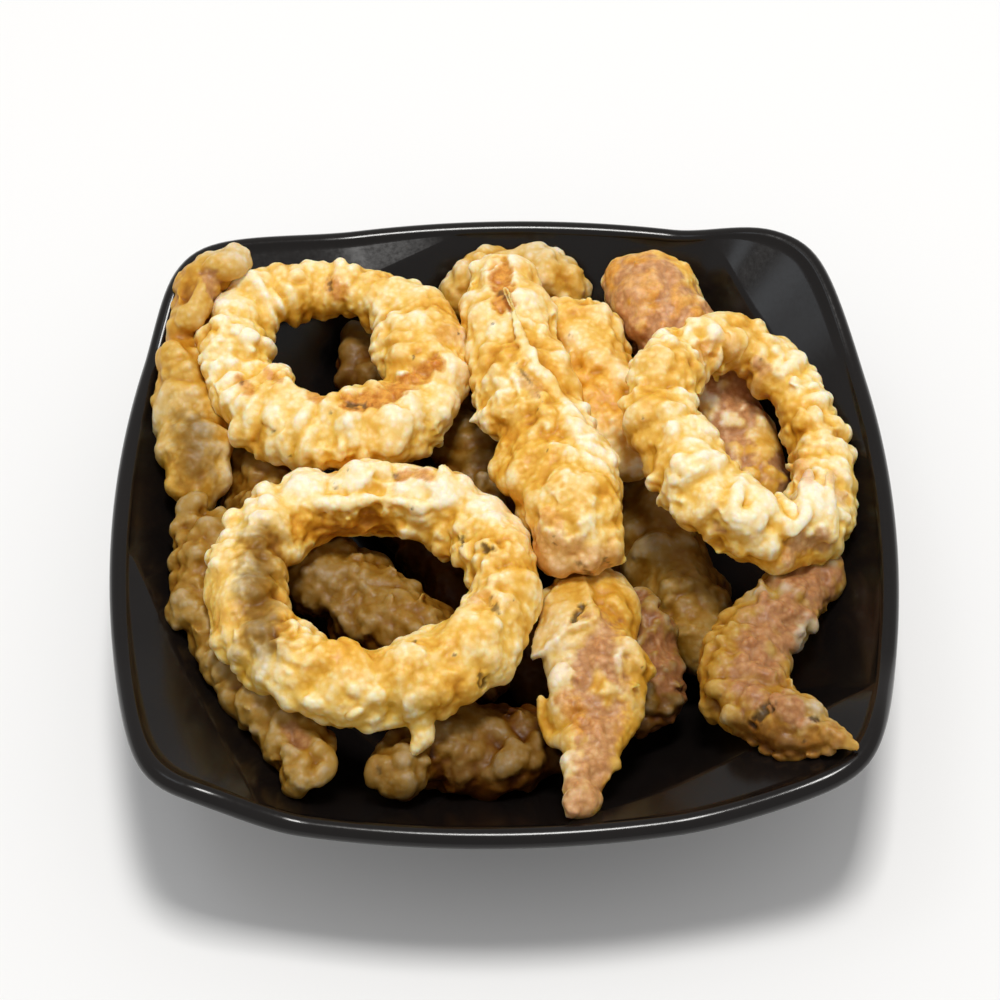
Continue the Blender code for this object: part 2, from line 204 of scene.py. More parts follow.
def puffs(points, size, seed, crispness):
    """Rounded lumps side by side, from about -1 in the creases between them to 1 on their tops."""
    place = noise_place(points, size, seed)
    cell = np.floor(place).astype(np.int64)
    total = np.zeros(len(points))
    for step in itertools.product((-1, 0, 1), repeat=3):
        at = cell + np.array(step)
        mixed = mixed_bits(at)
        middle = at + 0.5 + 0.42 * three_numbers(mixed)
        tall = 0.09 * (mixed >> 30 & 3)
        away = ((place - middle)**2).sum(axis=1)
        total += np.exp(crispness * (tall - away))
    return 3.0 * (np.log(total) / crispness + 0.09)


def warped(points, size, seed):
    """The points after a smooth random shift, so that noise on them looks less regular."""
    shift = np.stack([noise(points, size, seed + axis) for axis in range(3)], axis=1)
    return points + 0.3 * size * shift


def mesh_arrays(mesh):
    points = np.empty(len(mesh.vertices) * 3)
    mesh.vertices.foreach_get("co", points)
    edges = np.empty(len(mesh.edges) * 2, dtype=np.int64)
    mesh.edges.foreach_get("vertices", edges)
    return points.reshape(-1, 3), edges.reshape(-1, 2)


def smoothed(points, edges, rounds, share=0.5):
    """The points after each has moved towards the mean of its neighbours, round after round."""
    count = len(points)
    first, second = edges[:, 0], edges[:, 1]
    valence = np.bincount(first, minlength=count) + np.bincount(second, minlength=count)
    valence = np.maximum(valence, 1)
    points = points.copy()
    for _ in range(rounds):
        for axis in range(points.shape[1]):
            column = points[:, axis]
            total = np.bincount(first, column[second], count) + np.bincount(second, column[first], count)
            points[:, axis] = column + share * (total / valence - column)
    return points


def vertex_normals(mesh):
    normals = np.empty(len(mesh.vertices) * 3)
    mesh.vertex_normals.foreach_get("vector", normals)
    return normals.reshape(-1, 3)


def set_points(mesh, points):
    mesh.vertices.foreach_set("co", points.ravel())
    mesh.update()


# Lobes of batter, each an ellipsoid sunk in the surface

def unit_ball():
    bm = bmesh.new()
    bmesh.ops.create_icosphere(bm, subdivisions=2, radius=1.0)
    points = np.array([vertex.co[:] for vertex in bm.verts])
    faces = np.array([[vertex.index for vertex in face.verts] for face in bm.faces])
    bm.free()
    return points, faces


BALL_POINTS, BALL_FACES = unit_ball()


@dataclass
class Look:
    """How the batter lies on one piece."""

    node: str
    size: float = 6.0           # mm across the puffs of the crust
    relief: float = 1.3         # how far they stand out, mm
    ribbed: float = 1.1         # how much longer a puff is across the piece than along it
    lobes: float = 0.35         # share of the surface under larger separate lobes
    knobs: float = 0.3          # share of the surface with clusters of small knobs
    flakes: int = 6
    skin: float = 0.0           # share of the surface where the squid's own skin shows
    gold: float = 0.0           # more golden above 0, paler below
    shade: float = 0.0          # how much painted shade darkens the crust where a piece lies low or under others, partly also oil soaking
    voxel: float = 0.6          # mm
    seed: int = 0


LOOKS = (
    Look("ring_back_left", size=3.1, relief=1.3, ribbed=2.7, lobes=0.2, knobs=0.15, flakes=2, voxel=0.5,
         seed=1),
    Look("ring_front_left", size=4.6, relief=1.0, ribbed=1.4, lobes=0.25, knobs=0.3, flakes=6, voxel=0.5,
         seed=2),
    Look("ring_right", size=3.4, relief=1.25, ribbed=2.0, lobes=0.2, knobs=0.4, flakes=10, voxel=0.5,
         seed=3),
    Look("strip_centre", size=4.4, relief=0.85, ribbed=1.2, gold=0.1, lobes=0.3, knobs=0.2, flakes=4,
         voxel=0.5, seed=4),
    Look("tail_front", size=4.0, relief=0.5, knobs=0.2, lobes=0.1, flakes=5, gold=0.2, shade=0.22,
         voxel=0.5, seed=5),
    Look("tentacle_right", size=3.4, relief=0.8, knobs=0.5, lobes=0.1, flakes=6, gold=0.4, shade=0.7,
         voxel=0.5, seed=6),
    Look("strip_left_back", size=4.4, relief=1.1, ribbed=1.5, flakes=2, gold=0.4, shade=0.36, seed=7),
    Look("strip_left_front", size=3.8, relief=1.1, knobs=0.5, flakes=5, gold=0.8, shade=0.85, seed=8),
    Look("strip_back", size=3.4, relief=0.8, knobs=0.5, flakes=4, gold=0.3, shade=0.3, seed=9),
    Look("strip_centre_right", size=4.2, relief=0.9, knobs=0.3, flakes=3, gold=0.15, seed=10),
    Look("skin_strip_back", size=4.5, relief=0.7, lobes=0.15, knobs=0.2, flakes=5, gold=0.3, skin=0.4,
         seed=11),
    Look("tentacle_centre", size=3.0, relief=1.0, lobes=0.1, knobs=0.7, flakes=4, gold=0.8, skin=0.6,
         shade=0.85, seed=12),
    Look("tube_deep_right", size=6.0, relief=0.7, lobes=0.2, knobs=0.1, flakes=2, gold=1.0, shade=0.5,
         seed=13),
    Look("strip_front", size=4.4, relief=1.1, knobs=0.4, flakes=3, gold=0.9, shade=0.95, seed=14),
    Look("strip_under_ring", size=3.0, relief=0.6, ribbed=1.0, lobes=0.1, knobs=0.6, flakes=3, gold=1.0,
         shade=0.92, voxel=0.5, seed=15),
    Look("strip_deep_left", size=4.5, relief=1.0, knobs=0.3, flakes=3, gold=1.0, shade=0.95, seed=16),
    Look("strip_floor", size=5.0, relief=0.9, knobs=0.2, flakes=2, gold=0.8, shade=0.9, voxel=0.7,
         seed=17),
)


def base_of(node):
    """A copy of the solid's mesh, rounded between its facets."""
    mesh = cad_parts[node].data.copy()
    bm = bmesh.new()
    bm.from_mesh(mesh)
    bmesh.ops.remove_doubles(bm, verts=bm.verts, dist=1e-6)
    bmesh.ops.subdivide_edges(bm, edges=bm.edges, cuts=1, use_grid_fill=True)
    bm.to_mesh(mesh)
    bm.free()
    points, edges = mesh_arrays(mesh)
    set_points(mesh, smoothed(points, edges, 2))
    points, _ = mesh_arrays(mesh)
    set_points(mesh, points + SWELL * vertex_normals(mesh))
    return mesh


def triangles_of(mesh):
    mesh.calc_loop_triangles()
    triangles = np.empty(len(mesh.loop_triangles) * 3, dtype=np.int64)
    mesh.loop_triangles.foreach_get("vertices", triangles)
    return triangles.reshape(-1, 3)


def centre_line(points, edges):
    """For each point of a piece, about where the middle of the piece lies beside it."""
    return smoothed(points, edges, 140, 0.8)


def carried(points, base_points, values):
    """Values of the base's points, carried over to other points from the nearest few."""
    tree = KDTree(len(base_points))
    for index, point in enumerate(base_points.tolist()):
        tree.insert(point, index)
    tree.balance()
    found = [tree.find_n(point, NEAREST) for point in points.tolist()]
    near = np.array([[index for _, index, _ in row] for row in found])
    away = np.array([[distance for _, _, distance in row] for row in found])
    weight = 1.0 / (away**2 + 1e-7)
    return (values[near] * weight[:, :, None]).sum(axis=1) / weight.sum(axis=1)[:, None]


def stand_off(points, tree):
    """How far each point lies outside the piece's plain form."""
    result = np.empty(len(points))
    for k, point in enumerate(points.tolist()):
        place, normal, _, away = tree.find_nearest(point)
        result[k] = away if normal.dot(Vector(point) - place) > 0.0 else 0.0
    return result


def frame_on(normal, way):
    """Two directions across a normal, the first as near as can be to the given way."""
    first = way - normal * np.dot(way, normal)
    length = np.linalg.norm(first)
    if length < 1e-6:
        first = np.cross(normal, (0.3, 0.5, 0.8))
        length = np.linalg.norm(first)
    first = first / length
    return first, np.cross(normal, first)


def ball_at(centre, axes, sizes):
    """Points of an ellipsoid from its centre, three directions and its half sizes along them."""
    return centre + (BALL_POINTS * np.array(sizes)) @ np.array(axes)


def spots_on(mesh, rng, tries):
    """Random places on a mesh and the surface's normals there."""
    points, _ = mesh_arrays(mesh)
    corners = points[triangles_of(mesh)]
    crosses = np.cross(corners[:, 1] - corners[:, 0], corners[:, 2] - corners[:, 0])
    doubles = np.linalg.norm(crosses, axis=1)
    picks = rng.choice(len(doubles), tries, p=doubles / doubles.sum())
    shares = rng.random((tries, 2))
    flip = shares.sum(axis=1) > 1.0
    shares[flip] = 1.0 - shares[flip]
    places = corners[picks, 0] + shares[:, :1] * (corners[picks, 1] - corners[picks, 0])
    places += shares[:, 1:] * (corners[picks, 2] - corners[picks, 0])
    return places, crosses[picks] / doubles[picks][:, None]


def area_of(mesh):
    return sum(polygon.area for polygon in mesh.polygons)


def spread_lobes(mesh, look, rng, widths, share, patch, relief):
    """Lobes where a patchy noise is high, the larger first, so that they just overlap."""
    small, large = widths[0] * MM, widths[1] * MM
    tries = int(6.0 * area_of(mesh) / (small * large))
    places, normals = spots_on(mesh, rng, tries)
    patches = noise(places, patch * MM, look.seed + 40)
    fit = patches > np.quantile(patches, 1.0 - share)
    sizes = np.sort(small + (large - small) * rng.random(tries)**1.7)[::-1]
    kept, kept_sizes, balls = [], [], []
    for place, normal, width in zip(places[fit], normals[fit], sizes[fit]):
        if kept:
            away = np.linalg.norm(np.array(kept) - place, axis=1)
            if (away < 0.40 * (np.array(kept_sizes) + width)).any():
                continue
        kept.append(place)
        kept_sizes.append(width)
        first, second = frame_on(normal, rng.normal(size=3))
        proud = relief * MM * (0.35 + 0.9 * rng.random())
        half_height = max(FLAT_SHARE * width, proud)
        stretch = 1.0 + 0.5 * rng.random()
        half = 0.5 * width
        ball = ball_at(place + normal * (proud - half_height), (first, second, normal),
                       (half * stretch, half / stretch**0.5, half_height))
        balls.append(ball + normal * (0.25 * half * noise(ball, 1.3 * width, look.seed + 60))[:, None])
    return balls


def flakes_on(mesh, look, rng):
    """Thin ragged flakes that stand out of the crust."""
    balls = []
    for place, normal in zip(*spots_on(mesh, rng, look.flakes)):
        first, second = frame_on(normal, rng.normal(size=3))
        lean = math.radians(rng.uniform(25.0, 70.0))
        out = second * math.cos(lean) + normal * math.sin(lean)
        flat = -second * math.sin(lean) + normal * math.cos(lean)
        length, width = rng.uniform(2.5, 5.5) * MM, rng.uniform(2.0, 3.4) * MM
        ball = ball_at(place + out * 0.35 * width, (first, out, flat), (0.5 * length, 0.5 * width, 0.5 * MM))
        balls.append(ball + flat * (0.5 * MM * noise(ball, 2.5 * MM, look.seed + 70))[:, None])
    return balls


# Features placed by where the picture shows them

@dataclass
class Lobe:
    """One lump of batter. x and y are its pixel, and its sizes and its lift are in millimetres.

    It is long in the picture's direction turn, in degrees anticlockwise from rightwards.
    """

    x: float
    y: float
    length: float
    width: float
    thick: float
    turn: float = 0.0
    lift: float = 0.0


@dataclass
class Strand:
    """A drip, curl or ridge of batter: a string through pixels, its half widths and lifts in millimetres."""

    pixels: tuple
    widths: tuple
    lifts: tuple
    flat: float = 0.8


@dataclass
class Flap:
    """A thin sheet of batter: its outline in pixels, and its lift, thickness and hollow in millimetres."""

    outline: tuple
    lift: float = 1.0
    thick: float = 1.3
    cup: float = 0.8


@dataclass
class Mark:
    """A spot or a streak through pixels, of a radius in millimetres, where the crust looks different.

    It stands out of the crust by rise, in millimetres, or lies in it where that is below 0.
    """

    kind: str
    radius: float
    pixels: tuple
    strength: float = 1.0
    rise: float = 0.0


def place_on(tree, x, y):
    """The point of a piece that a pixel shows, and the surface's normal there.

    Where the pixel lies beside the piece, it is the point of its ray that is nearest to the piece.
    """
    start, ray = camera_place(), pixel_ray(x, y)
    hit, normal, _, _ = tree.ray_cast(start, ray)
    if hit is not None:
        return np.array(hit), np.array(normal)
    best = None
    for step in range(160):
        point = start + ray * (0.47 + 0.001 * step)
        place, normal, _, away = tree.find_nearest(point)
        if best is None or away < best[0]:
            best = (away, point, (point - place).normalized())
    return np.array(best[1]), np.array(best[2])


def picture_way(turn):
    right, up, _ = camera_axes()
    angle = math.radians(turn)
    return np.array(right * math.cos(angle) + up * math.sin(angle))


def lobe_points(lobe, tree):
    place, normal = place_on(tree, lobe.x, lobe.y)
    along, across = frame_on(normal, picture_way(lobe.turn))
    sizes = (lobe.length * MM / 2.0, lobe.width * MM / 2.0, lobe.thick * MM / 2.0)
    return ball_at(place + normal * lobe.lift * MM, (along, across, normal), sizes)


def strand_balls(strand, tree):
    """Balls strung along the strand closely enough to merge."""
    places, normals = zip(*(place_on(tree, x, y) for x, y in strand.pixels))
    stops = np.array([p + n * lift * MM for p, n, lift in zip(places, normals, strand.lifts)])
    along = np.concatenate([[0.0], np.cumsum(np.linalg.norm(np.diff(stops, axis=0), axis=1))])
    spacing = 0.45 * min(strand.widths) * MM
    at = np.linspace(0.0, along[-1], max(3, int(along[-1] / spacing)))
    line = np.stack([np.interp(at, along, stops[:, axis]) for axis in range(3)], axis=1)
    facing = np.stack([np.interp(at, along, np.array(normals)[:, axis]) for axis in range(3)], axis=1)
    halves = np.interp(at, along, np.array(strand.widths)) * MM
    for _ in range(6):
        line[1:-1] += 0.5 * (0.5 * (line[:-2] + line[2:]) - line[1:-1])
    balls = []
    for k, place in enumerate(line):
        way = line[min(k + 1, len(line) - 1)] - line[max(k - 1, 0)]
        normal = facing[k] / np.linalg.norm(facing[k])
        first, second = frame_on(normal, way)
        half = halves[k]
        balls.append(ball_at(place, (first, second, normal), (half, half, half * strand.flat)))
    return balls


def flap_sheet(flap, tree):
    """Points and faces of a flap: two fans, one over the other, and the edge between them."""
    count = len(flap.outline)
    middle = (sum(x for x, y in flap.outline) / count, sum(y for x, y in flap.outline) / count)
    places, normals = zip(*(place_on(tree, x, y) for x, y in flap.outline + (middle,)))
    facing = np.mean(normals, axis=0)
    facing /= np.linalg.norm(facing)
    places = np.array(places) + facing * flap.lift * MM
    places[-1] -= facing * flap.cup * MM
    half = facing * flap.thick * MM / 2.0
    points = np.vstack([places + half, places - half])
    centre, lower = count, count + 1
    faces = []
    for k in range(count):
        after = (k + 1) % count
        faces.append((centre, k, after))
        faces.append((lower + centre, lower + after, lower + k))
        faces.append((k, lower + k, lower + after))
        faces.append((k, lower + after, after))
    return points, np.array(faces)


def streak_distance(mark, places, sizes):
    """How far each place in the picture lies from a mark's streak, as a share of its radius.

    sizes is the width of a pixel there, in millimetres.
    """
    ends = np.array(mark.pixels, dtype=float)
    if len(ends) == 1:
        ends = np.vstack([ends, ends + 0.01])
    away = np.full(len(places), np.inf)
    for start, end in zip(ends[:-1], ends[1:]):
        way = end - start
        share = np.clip((places - start) @ way / (way @ way), 0.0, 1.0)
        near = start + share[:, None] * way
        away = np.minimum(away, np.linalg.norm(places - near, axis=1))
    return away * sizes / mark.radius


LOBES = {
    # Front left ring: the broad lobes along its front and its tip at the right
    "ring_front_left": (
        Lobe(345, 656, 13.0, 9.5, 3.6, -15, lift=-0.6),
        Lobe(402, 660, 12.0, 9.0, 3.6, 10, lift=-0.6),
        Lobe(378, 696, 7.0, 5.0, 4.0, -20),
        Lobe(524, 507, 5.5, 3.5, 3.0, -30),
        Lobe(232, 520, 6.0, 6.0, 5.0, 0),
        Lobe(305, 478, 13.0, 9.0, 3.6, 20, lift=-0.6),
        Lobe(350, 476, 13.0, 9.0, 3.4, -5, lift=-0.6),
        Lobe(455, 490, 14.0, 9.0, 3.8, -15, lift=-0.6),
    ),
    # Back left ring
    "ring_back_left": (
        Lobe(382, 262, 2.4, 5.0, 2.4, 80),
        Lobe(300, 432, 12.0, 7.0, 3.2, 80, lift=-0.6),
        Lobe(340, 440, 12.0, 8.0, 3.2, 85, lift=-0.6),
        Lobe(390, 430, 13.0, 10.0, 3.6, 60, lift=-0.6),
        Lobe(432, 410, 12.0, 8.0, 3.6, 30, lift=-0.6),
        Lobe(460, 372, 10.0, 6.0, 3.6, 10, lift=-0.6),
    ),
    # Right ring: the big pale lobe at its lower right, the pink tip below it and the spike at its left
    "ring_right": (
        Lobe(818, 512, 17.0, 10.0, 7.0, -75),
        Lobe(788, 561, 4.0, 2.2, 2.0, -60),
        Lobe(672, 492, 2.0, 4.5, 1.6, 30),
        Lobe(650, 365, 11.0, 9.0, 3.8, 40, lift=-0.6),
    ),
    # Strip in the middle
    "strip_centre": (
        Lobe(592, 440, 16.0, 10.0, 4.4, -70, lift=-0.6),
        Lobe(536, 492, 9.0, 7.5, 3.6, -50, lift=-0.6),
        Lobe(572, 385, 12.0, 7.0, 3.2, -60, lift=-0.6),
        Lobe(485, 310, 12.0, 7.0, 3.2, 80, lift=-0.6),
    ),
    # Knob at the end of the back left strip
    "strip_left_back": (
        Lobe(228, 266, 11.0, 7.5, 6.0, 0),
    ),
    "strip_left_front": (
        Lobe(192, 505, 9.0, 8.0, 6.0, 60),
        Lobe(184, 528, 8.0, 7.0, 6.0, 60),
        Lobe(212, 674, 6.0, 4.5, 3.5, 0),
        Lobe(178, 565, 4.0, 3.0, 3.0, 20),
        Lobe(180, 598, 4.5, 3.5, 3.0, 10),
    ),
    # Tail at the front: the batter down its right side and the knobs at its end
    "tail_front": (
        Lobe(562, 712, 11.0, 8.0, 6.0, -75),
        Lobe(572, 738, 8.0, 7.0, 5.0, -40),
        Lobe(560, 680, 8.0, 6.0, 5.0, 80),
        Lobe(620, 610, 9.0, 4.5, 3.5, -60),
        Lobe(634, 655, 10.0, 4.0, 3.5, -75),
        Lobe(578, 771, 6.0, 5.0, 4.0, 40),
        Lobe(575, 808, 4.0, 3.0, 2.4, -60),
    ),
    # Right tentacle: golden nodules on its left side, pale ones on its right
    "tentacle_right": (
        Lobe(724, 618, 8.0, 5.0, 4.0, 60, lift=-0.8),
        Lobe(714, 645, 8.0, 4.5, 4.0, 80, lift=-0.8),
        Lobe(714, 690, 6.5, 5.0, 4.0, 20),
        Lobe(782, 668, 6.0, 4.0, 3.5, 60),
        # and the ragged lower edge of its tip
        Lobe(744, 726, 5.0, 3.0, 1.6, 200),
        Lobe(752, 744, 4.6, 2.8, 1.6, -110),
        Lobe(766, 752, 4.6, 2.6, 1.6, -95),
        Lobe(781, 758, 5.0, 2.8, 1.6, -85),
        Lobe(797, 759, 4.2, 2.4, 1.6, -80),
        Lobe(812, 756, 5.0, 2.8, 1.6, -70),
        Lobe(828, 751, 4.0, 2.4, 1.5, -60),
        Lobe(788, 708, 8.0, 6.0, 5.0, -40),
    ),
    # The lumps in the shade at the front
    "strip_front": (
        Lobe(376, 772, 8.0, 5.5, 5.0, 75),
        Lobe(512, 758, 12.0, 6.5, 5.0, 60),
        Lobe(427, 762, 4.0, 3.5, 3.0, 0),
    ),
}

STRANDS = {
    # The thin pale ridge down the centre strip
    "strip_centre": (
        Strand(((506, 294), (513, 318), (522, 345), (536, 368), (556, 392), (582, 424)), (1.0, 1.2, 1.5,
               1.6, 1.6, 1.6), (1.8, 1.6, 1.3, 0.9, 0.5, 0.0), flat=0.5),
    ),
    # The drip under the front ring
    "ring_front_left": (
        Strand(((420, 700), (420, 722), (424, 740), (414, 752)), (3.4, 2.8, 2.6, 1.4), (0.0, 0.6, 0.4,
               0.2), flat=0.4),
        # The edge of the batter that hangs over inside the front ring's far side
        Strand(((300, 488), (316, 504), (342, 506), (364, 500), (382, 498), (420, 507), (452, 500)), (1.4,
               1.6, 1.8, 1.5, 1.4, 1.3, 1.2), (1.0, 1.5, 1.5, 1.4, 1.0, 0.9, 0.4), flat=0.7),
        # The thin fringe under the front ring's near side
        Strand(((262, 676), (290, 704), (322, 718), (360, 724), (400, 722), (440, 710), (482, 688)), (1.0,
               1.2, 1.3, 1.3, 1.3, 1.4, 1.2), (0.2, 0.3, 0.4, 0.4, 0.4, 0.3, 0.2), flat=0.6),
    ),
    # The smooth curl at the right ring's near side
    "ring_right": (
        Strand(((735, 488), (731, 504), (737, 520), (752, 518), (764, 500)), (1.4, 1.7, 2.0, 1.9, 1.5),
               (0.6, 1.2, 1.4, 1.2, 0.4)),
        Strand(((720, 340), (716, 354), (711, 368)), (0.8, 0.9, 0.7), (1.2, 1.3, 0.6), flat=0.6),
        # The folds on the right ring's big pale lobe
        Strand(((812, 478), (806, 500), (800, 520), (790, 536)), (1.2, 1.5, 1.5, 1.0), (2.2, 2.8, 2.6,
               1.4)),
        Strand(((826, 480), (824, 505), (816, 528)), (1.2, 1.6, 1.2), (2.4, 3.0, 2.0)),
    ),
    # The curl, the sliver and the spike of the tail at the front
    "tail_front": (
        Strand(((543, 700), (546, 720), (556, 740), (574, 744), (583, 738)), (1.5, 1.7, 1.8, 1.6, 1.1),
               (0.4, 0.8, 1.0, 1.0, 0.6)),
        Strand(((576, 706), (590, 700), (608, 693)), (0.7, 0.8, 0.6), (0.6, 0.8, 0.4)),
        Strand(((574, 800), (569, 812), (566, 818)), (1.2, 0.9, 0.6), (0.2, 0.2, 0.0)),
    ),
    # The ring-shaped tip of the small tentacle
    "tentacle_centre": (
        Strand(((633, 595), (642, 591), (651, 598), (650, 609), (640, 612), (633, 605), (633, 595)), (1.1,
               1.1, 1.2, 1.2, 1.1, 1.0, 1.0), (0.6, 0.6, 0.6, 0.8, 0.8, 0.6, 0.6)),
    ),
    # The tip and a thin hair of the right tentacle
    "tentacle_right": (
        Strand(((812, 722), (828, 731), (843, 741), (856, 747)), (1.5, 1.4, 1.2, 1.0), (0.4, 0.4, 0.2,
               0.0)),
        Strand(((764, 581), (763, 598), (766, 613)), (0.7, 0.8, 0.7), (0.8, 0.9, 0.4)),
    ),
    # The neck of the back left strip's end knob and the curled end of the front left strip
    "strip_left_back": (
        Strand(((206, 286), (200, 300), (192, 318)), (3.0, 3.2, 3.4), (0.6, 0.8, 0.4)),
    ),
    "strip_left_front": (
        Strand(((318, 748), (330, 762), (322, 776), (304, 780), (292, 790)), (2.2, 2.4, 2.2, 2.2, 2.0),
               (0.4, 0.8, 0.6, 0.4, 0.2)),
    ),
}

FLAPS = {
    # Ragged flake at the left of the centre strip
    "strip_centre": (
        Flap(((504, 390), (490, 398), (480, 410), (471, 423), (484, 423), (494, 426), (508, 418)), 0.6,
             1.4),
        # Two thin flaps at its lower right
        Flap(((604, 482), (612, 478), (621, 488), (622, 500), (614, 508), (604, 504)), 0.0, 1.4),
        Flap(((606, 520), (614, 522), (622, 532), (628, 548), (629, 562), (620, 567), (608, 566)), -0.4,
             1.3),
    ),
    # The torn batter over the tail at the front
    "tail_front": (
        Flap(((590, 578), (566, 584), (553, 598), (545, 622), (537, 646), (535, 664), (548, 657),
             (560, 646), (574, 634), (590, 628), (604, 622)), 1.6, 1.5, 1.2),
    ),
    # The ragged end of the right tentacle
    "tentacle_right": (
        Flap(((742, 728), (752, 716), (776, 712), (800, 712), (818, 718), (832, 730), (838, 742),
             (826, 752), (808, 758), (790, 754), (768, 744), (746, 740)), 0.0, 1.5, 0.4),
    ),
    # Golden flap below the deep tube
    "tube_deep_right": (
        Flap(((660, 624), (676, 622), (697, 626), (700, 634), (684, 638), (664, 636)), 0.6, 1.3),
    ),
    # Pointed flap at the right ring's near side
    "ring_right": (
        Flap(((714, 500), (724, 500), (732, 510), (730, 520), (718, 514)), 1.4, 1.3),
    ),
}

